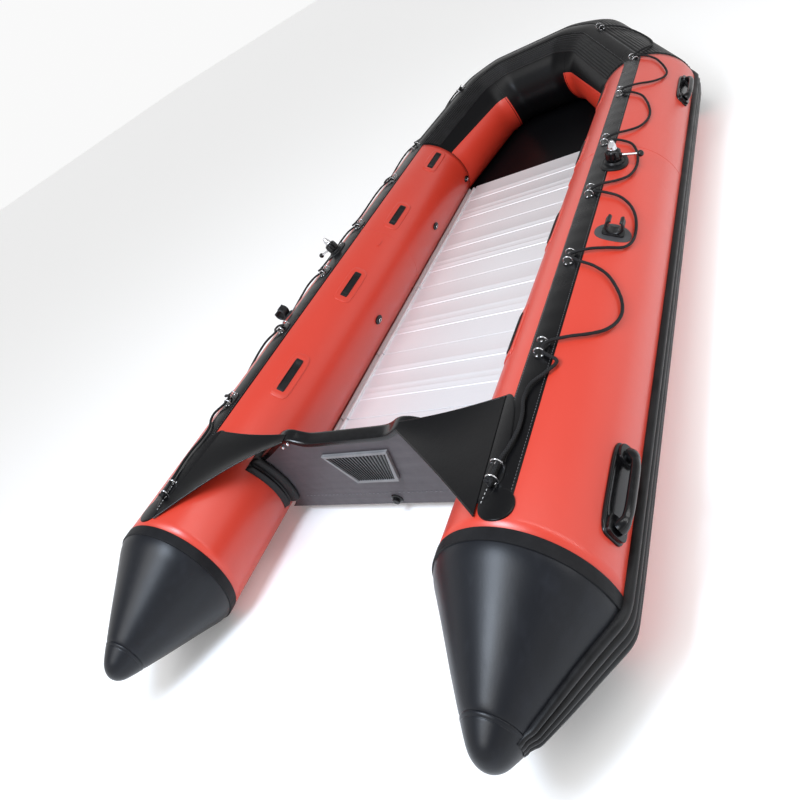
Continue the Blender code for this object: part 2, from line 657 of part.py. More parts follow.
clear_scene()
boat = collection("inflatable_rowing_boat")
tools = collection("boolean_tools", hidden=True)
build_tubes()
build_cones()
build_strakes_and_strips()
build_transom()
build_transom_holders()
build_gussets()
build_floor()
build_hull_bottom()
build_rowlocks()
build_oar_clips()
build_carry_handles()
build_seat_pads()
build_valves()
build_lifelines()
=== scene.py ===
import math

import bmesh
import bpy
import numpy as np
from mathutils import Matrix, Vector


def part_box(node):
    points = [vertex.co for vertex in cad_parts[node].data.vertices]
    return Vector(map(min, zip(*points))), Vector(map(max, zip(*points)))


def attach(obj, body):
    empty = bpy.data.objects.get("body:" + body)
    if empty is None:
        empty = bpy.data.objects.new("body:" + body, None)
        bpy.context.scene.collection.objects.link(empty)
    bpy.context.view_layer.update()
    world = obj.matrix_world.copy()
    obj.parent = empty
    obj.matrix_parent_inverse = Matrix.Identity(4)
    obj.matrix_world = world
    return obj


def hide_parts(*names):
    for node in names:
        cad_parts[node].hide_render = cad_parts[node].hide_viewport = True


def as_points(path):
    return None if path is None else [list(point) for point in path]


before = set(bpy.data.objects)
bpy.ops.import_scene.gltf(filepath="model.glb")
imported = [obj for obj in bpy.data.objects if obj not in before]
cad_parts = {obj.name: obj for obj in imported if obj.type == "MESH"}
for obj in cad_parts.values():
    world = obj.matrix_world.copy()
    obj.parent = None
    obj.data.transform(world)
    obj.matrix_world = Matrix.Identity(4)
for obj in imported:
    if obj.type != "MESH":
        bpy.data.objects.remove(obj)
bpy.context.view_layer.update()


# ---- The camera --------------------------------------------------------------
# It stands astern of the starboard tube, at about a person's eye height when the
# boat is on the ground, and is rolled so that the boat runs up the picture.
eye = (-2.846, -1.696, 1.753)
heading, tilt, roll = math.radians(41.06), math.radians(16.67), math.radians(-33.35)

sight = np.array([math.cos(tilt) * math.cos(heading), math.cos(tilt) * math.sin(heading),
                  -math.sin(tilt)])
level = np.cross(sight, (0.0, 0.0, 1.0))
level /= np.linalg.norm(level)
upright = np.cross(level, sight)
right = math.cos(roll) * level + math.sin(roll) * upright
top = math.cos(roll) * upright - math.sin(roll) * level

camera = bpy.data.objects.new("camera", bpy.data.cameras.new("camera"))
camera.data.lens = 32.17
camera.data.sensor_width = 36.0
camera.data.shift_x = 0.0984
camera.data.shift_y = -0.2110
camera.matrix_world = Matrix([[*row, place] for row, place in zip(zip(right, top, -sight), eye)]
                             + [[0.0, 0.0, 0.0, 1.0]])
bpy.context.scene.collection.objects.link(camera)
bpy.context.scene.camera = camera


# ---- The lifelines -----------------------------------------------------------
# A plaited black rope on each side tube, 11 mm thick. It hangs in bights between the
# rings that are sewn to the top strip, and is knotted at its stern and bow rings.
tube_radius = 0.240
side_length = 3.080
cone_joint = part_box("port_tube")[0].x
half_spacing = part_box("port_end_cone")[0].y + tube_radius
bow_reach, nose_half, bow_rise = 0.710, 0.355, 0.140
sides = {"port": 1, "starboard": -1}


def unit(vector):
    """A vector cut or stretched to a length of one."""
    vector = np.asarray(vector, float)
    return vector / np.linalg.norm(vector, axis=-1, keepdims=True)


def circle(steps):
    """Angles in radians, evenly spaced round a circle."""
    return np.linspace(0, math.tau, steps, endpoint=False)


def reach_along(line):
    """The distance along a line of points to each of them."""
    return np.append(0, np.cumsum(np.linalg.norm(np.diff(line, axis=0), axis=1)))


def axes_along(line, reference):
    """The directions across a line and up from it at each point. Up leans to a reference."""
    ahead = unit(np.gradient(line, axis=0))
    across = unit(np.cross(ahead, np.broadcast_to(reference, line.shape)))
    return across, np.cross(across, ahead)


def turn_between(first, second):
    """The matrix of the shortest turn that takes one direction to another."""
    axis = np.cross(first, second)
    cross = np.array([[0, -axis[2], axis[1]], [axis[2], 0, -axis[0]], [-axis[1], axis[0], 0]])
    return np.eye(3) + cross + cross @ cross / (1 + first @ second)


def tube_axes(side):
    """The axis points of one side: cone joint, bow seam, nose mitre, middle of the nose."""
    seam = cone_joint + side_length
    return np.array([(cone_joint, side * half_spacing, tube_radius),
                     (seam, side * half_spacing, tube_radius),
                     (seam + bow_reach, side * nose_half, tube_radius + bow_rise),
                     (seam + bow_reach, 0.0, tube_radius + bow_rise)])


def tube_frames(side):
    """The forward, outboard and upward axes of each of a side's three runs of tube."""
    runs = unit(np.diff(tube_axes(side), axis=0))
    axes = [np.array([runs[0], (0.0, side, 0.0), (0.0, 0.0, 1.0)])]
    for run in runs[1:]:
        axes.append(axes[-1] @ turn_between(axes[-1][0], run).T)
    return np.array(axes)


def arrays(*values):
    """Numbers and grids, all as grids of one shape."""
    return np.broadcast_arrays(*(np.asarray(value, float) for value in values))


def on_tube(side, place, angle, height=0.0):
    """Points on a tube: metres forward of the cone joint along the axis, degrees from the
    top towards the water, and the height above the skin."""
    place, angle, height = arrays(place, angle, height)
    run = (place > side_length).astype(int)
    axes = tube_frames(side)[run]
    start = tube_axes(side)[run] + axes[..., 0, :] * (place - side_length * run)[..., None]
    turn = np.radians(angle)[..., None]
    out = axes[..., 1, :] * np.sin(turn) + axes[..., 2, :] * np.cos(turn)
    return start + out * (tube_radius + height)[..., None]


def with_outs(side, place, angle, height, way=on_tube):
    """Points at a height over the skin, and the outward direction at each of them."""
    points = way(side, place, angle, height)
    return points, unit(points - way(side, place, angle, -tube_radius))


def smooth_line(points, steps):
    """A Catmull-Rom curve through the points, with so many evenly spaced steps."""
    points = np.asarray(points, float)
    padded = np.vstack([2 * points[0] - points[1], points, 2 * points[-1] - points[-2]])
    t = np.linspace(0, 1, 24, endpoint=False)[None, :, None]
    a, b, c, d = (padded[i:len(padded) - 3 + i, None, :] for i in range(4))
    fine = (2 * b + (c - a) * t + (2 * a - 5 * b + 4 * c - d) * t ** 2
            + (3 * b - a - 3 * c + d) * t ** 3) / 2
    fine = np.vstack([fine.reshape(-1, points.shape[1]), points[-1:]])
    length = reach_along(fine)
    even = np.linspace(0, length[-1], steps)
    return np.stack([np.interp(even, length, column) for column in fine.T], axis=1)


def make_piece(name, skins, finish, nodes=(), charts=None, crease=38.0):
    """Joins closed skins into one piece on the hull. A skin is a grid of points whose rows
    are rings; its first and last ring are closed by a face, or meet in a point."""
    points, corners, sizes, marks = [], [], [], []
    first = 0
    for number, skin in enumerate(skins):
        rows, columns = skin.shape[:2]
        index = first + np.arange(rows * columns).reshape(rows, columns)
        after = np.roll(index, -1, axis=1)
        corners.append(np.stack([index[:-1], after[:-1], after[1:], index[1:]], axis=-1).ravel())
        sizes.append(np.full((rows - 1) * columns, 4))
        if charts:
            uv = charts[number]
            marks.append(np.stack([uv[:-1, :-1], uv[:-1, 1:], uv[1:, 1:], uv[1:, :-1]], axis=2)
                         .reshape(-1, 2))
        for row, ring in ((0, index[0][::-1]), (-1, index[-1])):
            if np.ptp(skin[row], axis=0).max() > 1e-6:
                corners.append(ring)
                sizes.append([columns])
                if charts:
                    marks.append(np.zeros((columns, 2)))
        points.append(skin.reshape(-1, 3))
        first += rows * columns
    mesh = bpy.data.meshes.new(name)
    corners, sizes = np.concatenate(corners), np.concatenate(sizes)
    mesh.vertices.add(first)
    mesh.vertices.foreach_set("co", np.concatenate(points).astype(np.float32).ravel())
    mesh.loops.add(len(corners))
    mesh.loops.foreach_set("vertex_index", corners.astype(np.int32))
    mesh.polygons.add(len(sizes))
    mesh.polygons.foreach_set("loop_start", np.append(0, np.cumsum(sizes)[:-1]).astype(np.int32))
    if charts:
        mesh.uv_layers.new(name="surface").data.foreach_set(
            "uv", np.concatenate(marks).astype(np.float32).ravel())
    mesh.update(calc_edges=True)
    mesh.validate()
    work = bmesh.new()
    work.from_mesh(mesh)
    bmesh.ops.remove_doubles(work, verts=work.verts, dist=1e-6)
    bmesh.ops.dissolve_degenerate(work, edges=work.edges, dist=1e-7)
    bmesh.ops.recalc_face_normals(work, faces=work.faces)
    work.to_mesh(mesh)
    work.free()
    mesh.shade_smooth()
    mesh.set_sharp_from_angle(angle=math.radians(crease))
    mesh.materials.append(finish)
    piece = bpy.data.objects.new(name, mesh)
    bpy.context.scene.collection.objects.link(piece)
    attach(piece, "hull")
    if nodes:
        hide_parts(*nodes)
    return piece


class Signal:
    """A number from one node's socket, on which sums are written as in Python."""

    def __init__(self, tree, socket):
        self.tree, self.socket = tree, socket

    def sum(self, operation, first, second=0.0):
        node = self.tree.nodes.new("ShaderNodeMath")
        node.operation = operation
        for place, value in enumerate((first, second)):
            if isinstance(value, Signal):
                self.tree.links.new(value.socket, node.inputs[place])
            else:
                node.inputs[place].default_value = value
        return Signal(self.tree, node.outputs[0])

    def __add__(self, other):
        return self.sum("ADD", self, other)

    def __sub__(self, other):
        return self.sum("SUBTRACT", self, other)

    def __rsub__(self, other):
        return self.sum("SUBTRACT", other, self)

    def __mul__(self, other):
        return self.sum("MULTIPLY", self, other)

    __radd__ = __add__
    __rmul__ = __mul__

    def sine(self):
        return self.sum("SINE", self)

    def capped(self):
        return self.sum("MINIMUM", self.sum("MAXIMUM", self, 0.0), 1.0)


class Finish:
    """A material that is built up from its plain colour, one node at a time."""

    def __init__(self, name, colour, roughness, metallic=0.0, **constants):
        self.material = bpy.data.materials.new(name)
        self.material.use_nodes = True
        self.tree = self.material.node_tree
        self.shader = self.tree.nodes["Principled BSDF"]
        self.colour = (*colour, 1.0)
        self.shader.inputs["Base Color"].default_value = self.colour
        self.shader.inputs["Roughness"].default_value = roughness
        self.shader.inputs["Metallic"].default_value = metallic
        for socket, value in constants.items():
            self.shader.inputs[socket.replace("_", " ")].default_value = value

    def node(self, kind, settings, sockets, output=0):
        """One node: its settings first, then its sockets' values or links."""
        node = self.tree.nodes.new("ShaderNode" + kind)
        for setting, value in settings.items():
            setattr(node, setting, value)
        for key, value in sockets.items():
            socket = next(s for s in node.inputs if key in (s.identifier, s.name))
            if isinstance(value, Signal):
                self.tree.links.new(value.socket, socket)
            else:
                socket.default_value = value
        if isinstance(output, str):
            output = next(i for i, s in enumerate(node.outputs) if output in (s.identifier, s.name))
        return Signal(self.tree, node.outputs[output])

    def place(self, chart="Object"):
        return self.node("TexCoord", {}, {}, chart)

    def parts(self, vector):
        """The three numbers of a vector."""
        first = self.node("SeparateXYZ", {}, {"Vector": vector})
        return [Signal(self.tree, socket) for socket in first.socket.node.outputs]

    def noise(self, scale, detail=3.0, stretch=(1.0, 1.0, 1.0)):
        """Cloudy noise from 0 to 1, drawn out along an axis by a stretch below 1."""
        place = self.node("Mapping", {}, {"Vector": self.place(), "Scale": stretch})
        return self.node("TexNoise", {}, {"Vector": place, "Scale": scale, "Detail": detail}, "Fac")

    def weave(self, pitch):
        """Threads at right angles: the product of two sines, a pitch apart."""
        x, y, z = (part * (math.tau / pitch) for part in self.parts(self.place()))
        return x.sine() * y.sine() + z.sine() * 0.5

    def blend(self, amount, first, second):
        """A colour between two, by a number."""
        sockets = {"Factor_Float": amount, "A_Color": first, "B_Color": second}
        return self.node("Mix", {"data_type": "RGBA"}, sockets, "Result_Color")

    def paint(self, **sockets):
        """Links what varies over the surface to the shader."""
        for key, value in sockets.items():
            self.tree.links.new(value.socket, self.shader.inputs[key.replace("_", " ")])
        return self.material

    def bumps(self, height, depth):
        """A height from 0 to 1 that stands up by a depth in metres."""
        return self.node("Bump", {}, {"Height": height, "Distance": depth, "Strength": 1.0}, "Normal")

    def dress(self, amount, second, roughness, relief, depth, first=None):
        """Paints a blend from the first colour to the second, a roughness and a relief."""
        colours = self.blend(amount, (*first, 1.0) if first else self.colour, (*second, 1.0))
        return self.paint(Base_Color=colours, Roughness=roughness, Normal=self.bumps(relief, depth))


# The rope's finish: plaited yarn, with a dusty bloom where it is worn.
rope_finish = Finish("black_rope", (0.006, 0.006, 0.0065), 0.62, Specular_IOR_Level=0.25)
yarn_pitch, yarns = 0.009, 4
rope_along, rope_around, _ = rope_finish.parts(rope_finish.place("UV"))
lay, turns = rope_along * (math.tau / yarn_pitch), rope_around * (math.tau * yarns)
plait = lay.sum("MAXIMUM", (lay + turns).sine(), (lay - turns).sine())
worn = (rope_finish.noise(14.0) * 0.6 + plait * 0.4 - 0.35).capped()
rope_material = rope_finish.dress(
    worn, (0.030, 0.030, 0.033), 0.75 - worn * 0.2,
    plait * 0.5 + rope_finish.noise(900.0) * 0.3, 0.0007, first=(0.004, 0.004, 0.0045))

rope_diameter = 0.011
rope_route = [
    (0.128, -3, 0.016), (0.194, -1, 0.016), (0.265, 3, 0.0125), (0.340, 4.5, 0.0125),
    (0.420, 1.5, 0.0125), (0.480, 3, 0.0125), (0.528, 11, 0.0125), (0.562, 17, 0.012),
    (0.596, 13, 0.013), (0.645, 2, 0.017), (0.740, 38, 0.012), (0.885, 50, 0.010),
    (1.030, 34, 0.012), (1.130, 2, 0.017), (1.215, 42, 0.011), (1.389, 47, 0.010),
    (1.520, 34, 0.012), (1.597, 2, 0.017), (1.680, 29, 0.012), (1.830, 37, 0.011),
    (1.985, 28, 0.012), (2.055, 1, 0.017), (2.140, 28, 0.012), (2.310, 38, 0.010),
    (2.500, 26, 0.012), (2.597, 0, 0.017), (2.680, 32, 0.012), (2.830, 46, 0.011),
    (2.990, 30, 0.012), (3.085, 2, 0.018), (3.190, 34, 0.012), (3.340, 50, 0.011),
    (3.480, 52, 0.011), (3.600, 36, 0.012), (3.680, 12, 0.016)]
arc_route = [(place, math.radians(angle) * tube_radius, height) for place, angle, height in rope_route]
route_steps, rope_steps, rope_sides = 78, 2200, 14
knot_size = 0.0042


def rope_skin(line, normals, strands=8, pitch=0.036, depth=0.05):
    """A tube round a line, whose radius swells over strands that wind both ways round it."""
    across, up = axes_along(line, normals)
    along = reach_along(line)[:, None]
    around = circle(rope_sides)[None, :]
    wave = np.maximum(np.cos(strands / 2 * around + math.tau * along / pitch),
                      np.cos(strands / 2 * around - math.tau * along / pitch))
    radius = (rope_diameter / 2 * (1 - depth / 2 + depth * (wave - 0.4)))[..., None]
    skin = line[:, None] + radius * (np.cos(around)[..., None] * up[:, None]
                                     + np.sin(around)[..., None] * across[:, None])
    chart = np.stack(np.broadcast_arrays(along, np.linspace(0, 1, rope_sides + 1)[None, :]), axis=-1)
    return skin, chart


def knot_line(centre, ahead, out, size):
    """A trefoil: three lobes round the centre, which pass over and under each other."""
    t = np.linspace(0, math.tau, 90)
    across = np.cross(out, ahead)
    shape = np.stack([np.sin(t) + 2 * np.sin(2 * t), np.cos(t) - 2 * np.cos(2 * t), -np.sin(3 * t)], 1)
    return centre + size * (shape[:, :1] * ahead + shape[:, 1:2] * across + shape[:, 2:] * out * 1.2)


for name, side in sides.items():
    course = smooth_line(arc_route, route_steps)
    angle = np.degrees(course[:, 1] / tube_radius)
    marks, outs = with_outs(side, course[:, 0], angle, course[:, 2])
    fine = smooth_line(np.hstack([marks, outs * 0.001]), rope_steps)
    line, normals = fine[:, :3], unit(fine[:, 3:])
    length = float(reach_along(line)[-1])
    skin, chart = rope_skin(line, normals)
    rope = make_piece(f"{name}_rope", [skin], rope_material, [f"{name}_lifeline"], [chart], crease=180.0)
    knots, knot_charts = [], []
    for end, inner, out in ((line[0], line[12], normals[0]), (line[-1], line[-13], normals[-1])):
        loop = knot_line(end, unit(end - inner), out, knot_size)
        knot, knot_chart = rope_skin(loop, np.broadcast_to(out, loop.shape))
        knots.append(knot)
        knot_charts.append(knot_chart)
    knot_piece = make_piece(f"{name}_rope_knots", knots, rope_material, (), knot_charts, crease=180.0)
    tuple(line[0])
    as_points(line[::2].tolist() + [line[-1].tolist()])


# ---- The air tubes -----------------------------------------------------------
# Reinforced PVC fabric, welded into two side tubes and a raised bow that is cut from
# three straight panels. The fabric is satin, a little cloudy, and the bow is black.
def panel_lines(side, station, angle, height):
    """Points on straight lines between the bends of one side. Stations count the bends:
    0 cone joint, 1 bow seam, 2 nose mitre, 3 middle of the nose. Each line is cut at a
    bend by the plane that halves it."""
    frames = tube_frames(side)
    runs = frames[:, 0]
    before, following = runs[[0, 0, 1, 2]], runs[[0, 1, 2, 2]]
    cut = unit(before + following)
    across, up = frames[[0, 0, 1, 2], 1], frames[[0, 0, 1, 2], 2]
    slide = (before * cut).sum(1, keepdims=True)
    across = across - before * (across * cut).sum(1, keepdims=True) / slide
    up = up - before * (up * cut).sum(1, keepdims=True) / slide
    bend = np.clip(np.floor(station).astype(int), 0, 2)
    share = (station - bend)[..., None]
    reach, turn = (tube_radius + height)[..., None], np.radians(angle)[..., None]

    def ring(k):
        return tube_axes(side)[k] + reach * (np.sin(turn) * across[k] + np.cos(turn) * up[k])
    return ring(bend) * (1 - share) + ring(bend + 1) * share


def along_tube(side, station, angle, height=0.0):
    """The panel lines with their bends eased, as air pressure does: each point is the mean
    of points on its line within a reach, which is short at the seam, long at the nose."""
    station, angle, height = arrays(station, angle, height)
    run_lengths = np.linalg.norm(np.diff(tube_axes(side), axis=0), axis=1)
    metres = np.append(0, np.cumsum(run_lengths))
    spot = np.interp(station, np.arange(4), metres)
    reach = 0.03 + 0.17 * np.exp(-((spot - metres[2]) / 0.22) ** 2)
    total = 0
    shares = np.linspace(-1, 1, 9)
    for share in shares:
        moved = spot + share * reach
        there = np.interp(moved, metres, np.arange(4))
        there = there + np.minimum(moved, 0) / metres[1]
        there = there + np.maximum(moved - metres[3], 0) / run_lengths[2]
        total = total + panel_lines(side, there, angle, height)
    return total / len(shares)


def fabric(name, colour, worn_colour, roughness, gloss=0.0, shine=0.5):
    """Coated cloth: a faint weave under a satin coat, cloudy colour and rubbed patches."""
    finish = Finish(name, colour, roughness, Coat_Weight=gloss, Coat_Roughness=0.25,
                    Specular_IOR_Level=shine)
    cloud = finish.noise(2.2, 4.0)
    rubbed = (finish.noise(9.0, 6.0) * 1.8 - 0.95).capped()
    grain = finish.noise(420.0, 2.0)
    relief = finish.weave(0.0016) * 0.12 + grain * 0.5 + finish.noise(14.0, 2.0) * 3.0
    return finish.dress((cloud - 0.3).capped() * 0.45 + rubbed * 0.18, worn_colour,
                        roughness + cloud * 0.10 - rubbed * 0.05, relief, 0.00016)


red_fabric = fabric("red_coated_fabric", (0.55, 0.036, 0.017), (0.61, 0.056, 0.030), 0.34, 0.40)
black_fabric = fabric("black_coated_fabric", (0.0025, 0.0025, 0.003), (0.007, 0.007, 0.008),
                      0.26, 0.0, 0.16)
around = np.linspace(0, 360, 144, endpoint=False)[None, :]
for name, side in sides.items():
    station = np.linspace(0, 1, 90)[:, None]
    pleat = 0.0006 * np.exp(-np.abs(station - 2.0 / side_length) * 180) * np.cos(np.radians(around) * 40)
    make_piece(f"{name}_air_tube", [along_tube(side, station, around, pleat)], red_fabric,
               [f"{name}_tube"], crease=180.0)


def bow_lines(station, angle, height):
    """Lines that run round the bow, from the port seam to the starboard seam."""
    rows = [along_tube(side, run, angle, height) for side, run in ((1, station), (-1, station[::-1]))]
    return np.concatenate([rows[0], rows[1][1:]])


bow_station = np.concatenate([np.linspace(1, 2, 24), np.linspace(2, 3, 14)[1:]])[:, None]
make_piece("bow_air_tube", [bow_lines(bow_station, around, 0.0)], black_fabric, ["bow_tube"], crease=18.0)


# ---- Red bow panels and seam tapes -------------------------------------------
# Strips of the same fabric, glued over the skin: a red panel on the inner side of each
# bow quarter, a red tape round each side tube's joint, and black tapes on the bow seams.
def laid_patch(side, stations, low, high):
    """A patch laid on the tube: its rows run round it from one edge line of angles to the
    other, and its edges curve down to the skin."""
    share = np.array([0, 0, 0.002, 0.006, *np.linspace(0.03, 0.97, 30), 0.994, 0.998, 1, 1,
                      *np.linspace(0.97, 0.03, 30)])
    lift = np.array([-0.4, 0, 0.8, *np.ones(32), 0.8, 0, -0.4, *np.full(30, -0.4)]) * 0.0009
    return along_tube(side, stations[:, None], low + (high - low)[:, None] * share, lift)


panel_run, panel_edge = np.linspace(1.002, 1.998, 24), np.linspace(-59.0, -68.0, 24)
skins = [laid_patch(side, panel_run, -140.0, panel_edge) for side in sides.values()]
make_piece("bow_red_panels", skins, red_fabric)


def ring_tape(side, middle, width, way, thickness=0.0008):
    """A tape round the tube, whose rings run from its aft edge over its top and back."""
    offsets = np.array([-0.5, -0.5, -0.49, 0.49, 0.5, 0.5]) * width
    lifts = np.array([-0.3, 0.5, 1.0, 1.0, 0.5, -0.3]) * thickness
    turn = np.linspace(-140, 220, 145)
    return way(side, middle + offsets[None, :], turn[:, None], lifts[None, :])


joint_tapes = [ring_tape(side, 2.000, 0.030, on_tube) for side in sides.values()]
make_piece("tube_joint_tapes", joint_tapes, red_fabric)
seam_tapes = [ring_tape(side, station, width, along_tube)
              for side in sides.values() for station, width in ((1.022, 0.044), (1.985, 0.030))]
make_piece("bow_seam_tapes", seam_tapes, black_fabric)


# ---- The end cones -----------------------------------------------------------
# Moulded black rubber-like plastic, glued over the end of each tube under a wide collar.
# They are satin, with a round cap on the tip and a faint ring where the cap starts.
cone_length = -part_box("port_end_cone")[0].x + cone_joint
cone_finish = Finish("moulded_rubber", (0.004, 0.0048, 0.007), 0.3, Specular_IOR_Level=0.30)
scuff = (cone_finish.noise(30.0, 8.0, stretch=(0.15, 1.0, 1.0)) * 2.2 - 1.15).capped()
flow = cone_finish.noise(6.0, 3.0)
cone_material = cone_finish.dress(
    scuff * 0.5 + flow * 0.25, (0.014, 0.016, 0.023), 0.32 + flow * 0.08 + scuff * 0.12,
    cone_finish.noise(260.0, 3.0) + flow * 4.0, 0.00014)


def rounded(points, passes=2):
    """Cuts the corners of an open line of points, as a string of quarter marks."""
    points = np.asarray(points, float)
    for _ in range(passes):
        near, far = points[:-1] * 0.75 + points[1:] * 0.25, points[:-1] * 0.25 + points[1:] * 0.75
        cut = np.stack([near, far], 1).reshape(-1, points.shape[1])
        points = np.vstack([points[:1], cut, points[-1:]])
    return points


cone_profile = [(0.000, 0.000), (0.000, 0.996), (0.070, 0.992), (0.145, 0.955), (0.240, 0.862),
                (0.360, 0.748), (0.480, 0.637), (0.605, 0.522), (0.725, 0.406), (0.800, 0.333),
                (0.812, 0.300), (0.830, 0.290)]
cap_profile = [(0.806, 0.000), (0.806, 0.318), (0.812, 0.322), (0.820, 0.318), (0.828, 0.306),
               (0.832, 0.300), (0.836, 0.300), (0.840, 0.297), (0.895, 0.241), (0.945, 0.185),
               (0.978, 0.120), (0.995, 0.050), (0.998, 0.000)]
collar_profile = [(-0.004, 0.0), (-0.004, 1.0), (-0.002, 1.0045), (0.000, 1.006), (0.030, 1.006),
                  (0.080, 1.0035), (0.084, 1.002), (0.086, 0.990), (0.086, 0.0)]


def cone_skin(side, profile, passes=2):
    """A profile of shares of the cone's length and of the tube's radius, turned about it."""
    aft, radius = (rounded(profile, passes) * (cone_length, tube_radius)).T[..., None]
    turn = np.linspace(0, math.tau, 112, endpoint=False)
    return np.stack([cone_joint - aft + 0 * turn, side * half_spacing + radius * np.cos(turn),
                     tube_radius + radius * np.sin(turn)], axis=-1)


collar_finish = Finish("collar_rubber", (0.003, 0.003, 0.0035), 0.5, Specular_IOR_Level=0.15)
collar_material = collar_finish.dress(
    collar_finish.noise(24.0, 5.0), (0.012, 0.012, 0.014), 0.42 + collar_finish.noise(60.0) * 0.2,
    collar_finish.weave(0.0014) * 0.3 + collar_finish.noise(300.0), 0.0001)
for name, side in sides.items():
    make_piece(f"{name}_cone", [cone_skin(side, cone_profile)], cone_material,
               [f"{name}_end_cone"], crease=50.0)
    make_piece(f"{name}_cone_cap", [cone_skin(side, cap_profile)], cone_material, crease=60.0)
    make_piece(f"{name}_cone_collar", [cone_skin(side, collar_profile, 1)], collar_material,
               crease=40.0)


# ---- The rub strakes ---------------------------------------------------------
# An extruded rubber fender with four ribs, glued along the widest part of the tubes from
# near the tip of one cone round the bow to the other. It is matt, with patches of grey dust.
strake_low, strake_high, strake_middle = 89.0, 113.0, 101.0
strake_thickness, tail_share = 0.020, 0.86
rubber = Finish("ribbed_rubber", (0.004, 0.004, 0.0045), 0.55, Specular_IOR_Level=0.25)
dust = (rubber.noise(18.0, 6.0) * 1.6 - 0.55).capped()
rubber_material = rubber.dress(
    dust * 0.6, (0.018, 0.018, 0.020), 0.34 + dust * 0.25,
    rubber.noise(500.0, 3.0) + rubber.noise(40.0) * 2.0, 0.00015)


def ribs(low, high, count, base, crown):
    """The angles and heights of a band with ribs: a raised sine whose valleys stay at the
    base height, closed underneath."""
    share = np.linspace(0, 1, count * 12 + 1)
    wave = base + (crown - base) * np.abs(np.sin(math.pi * count * share)) ** 0.7
    edge = np.clip(np.minimum(share, 1 - share) * count * 6, 0, 1)
    angle = low + (high - low) * share
    return (np.concatenate([angle, angle[::-1]]),
            np.concatenate([wave * np.sqrt(edge), np.full(len(share), -0.0008)]))


strake_angle, strake_height = ribs(strake_low, strake_high, 4, 0.009, strake_thickness)
cone_share, cone_radius = rounded(cone_profile[1:]).T
for name, side in sides.items():
    station = np.linspace(0, 0.9999, 40)[:, None]
    run = along_tube(side, station, strake_angle[None, :], strake_height[None, :])
    aft = np.linspace(0, tail_share, 50)[:, None]
    fade = np.clip((tail_share - aft) * 12, 0, 1) ** 0.5 * (1 - aft * 0.35)
    radius = tube_radius * (np.interp(aft, cone_share, cone_radius) - 1)
    spread = strake_middle + (strake_angle[None, :] - strake_middle) * (1 + aft * 0.9)
    tail = on_tube(side, -aft * cone_length, spread, radius + strake_height[None, :] * fade)
    make_piece(f"{name}_strake", [np.concatenate([tail[::-1], run[1:]])], rubber_material,
               [f"{name}_rub_strake"], crease=50.0)
strake = bow_lines(bow_station, strake_angle[None, :], strake_height[None, :])
make_piece("bow_strake", [strake], rubber_material, ["bow_rub_strake"], crease=50.0)


# ---- The ribbed bow covers ---------------------------------------------------
# Sheets of the same ribbed rubber, glued over the top of the nose and the quarters,
# where the boat is dragged and lifted. Their ribs run along the tubes.
cover_angle, cover_height = ribs(-38.0, -9.5, 7, 0.0012, 0.0050)
outer_angle, outer_height = ribs(13.0, 86.0, 16, 0.0010, 0.0044)
covers = []
for side in sides.values():
    quarter, nose = np.linspace(1.02, 2, 20)[:, None], np.linspace(2, 3, 16)[:, None]
    run = np.concatenate([quarter, nose[1:]])
    covers.append(along_tube(side, run, cover_angle[None, :], cover_height[None, :]))
    covers.append(along_tube(side, run, outer_angle[None, :], outer_height[None, :]))
make_piece("bow_ribbed_covers", covers, rubber_material, crease=60.0)


# ---- The line strips ---------------------------------------------------------
# A band of doubled black fabric on top of each tube, glued and sewn along both edges,
# which carries the lifeline rings.
strip_low, strip_high = -9.0, 12.0
strip_thickness = 0.003
sink = 0.0006  # how far the underside of a glued patch lies under the skin
strip_finish = fabric("strip_fabric", (0.0025, 0.0025, 0.003), (0.009, 0.009, 0.010), 0.22, 0.02, 0.2)
strip_share = np.linspace(0, 1, 33)
strip_edge = np.clip(np.minimum(strip_share, 1 - strip_share) * 9, 0, 1)
strip_height = strip_thickness * (0.35 + 0.65 * strip_edge ** 0.6)
strip_angle = strip_low + (strip_high - strip_low) * strip_share
strip_angle = np.concatenate([strip_angle, strip_angle[::-1]])
strip_height = np.concatenate([strip_height, np.full(33, -sink)])
for name, side in sides.items():
    station = np.linspace(0.022, 0.9999, 160)[:, None]
    ripple = strip_height * (strip_height > 0) * (1 + 0.10 * np.sin(station * 190))
    band = along_tube(side, station, strip_angle, np.where(strip_height > 0, ripple, strip_height))
    make_piece(f"{name}_strip", [band], strip_finish, [f"{name}_line_strip"], crease=60.0)
make_piece("bow_strip", [bow_lines(bow_station, strip_angle[None, :], strip_height[None, :])],
           strip_finish, ["bow_line_strip"], crease=60.0)


# ---- The lifeline rings ------------------------------------------------------
# Pairs of stainless half rings on moulded black feet, sewn to the top strip, through
# which the rope runs. Each foot has four stainless rivets.
ring_places = ((0.161, -3), (0.645, 2), (1.130, 2), (1.597, 2), (2.055, 1), (2.597, 0), (3.085, 2),
               (3.680, 12))
ring_spread, ring_radius, ring_wire = 0.026, 0.0155, 0.0022
ring_centre, ring_foot = 0.013, 0.002  # heights over the skin
steel = Finish("stainless_steel", (0.62, 0.62, 0.64), 0.16, 1.0)
steel_material = steel.paint(Roughness=0.10 + steel.noise(120.0, 5.0) * 0.16,
                             Normal=steel.bumps(steel.noise(700.0), 0.00003))
gloss = Finish("gloss_black_plastic", (0.003, 0.003, 0.0035), 0.2, Specular_IOR_Level=0.35)
gloss_material = gloss.dress(
    (gloss.noise(50.0, 6.0) * 2 - 0.9).capped() * 0.5, (0.014, 0.014, 0.016),
    0.14 + gloss.noise(80.0, 4.0) * 0.14, gloss.noise(380.0), 0.00012)


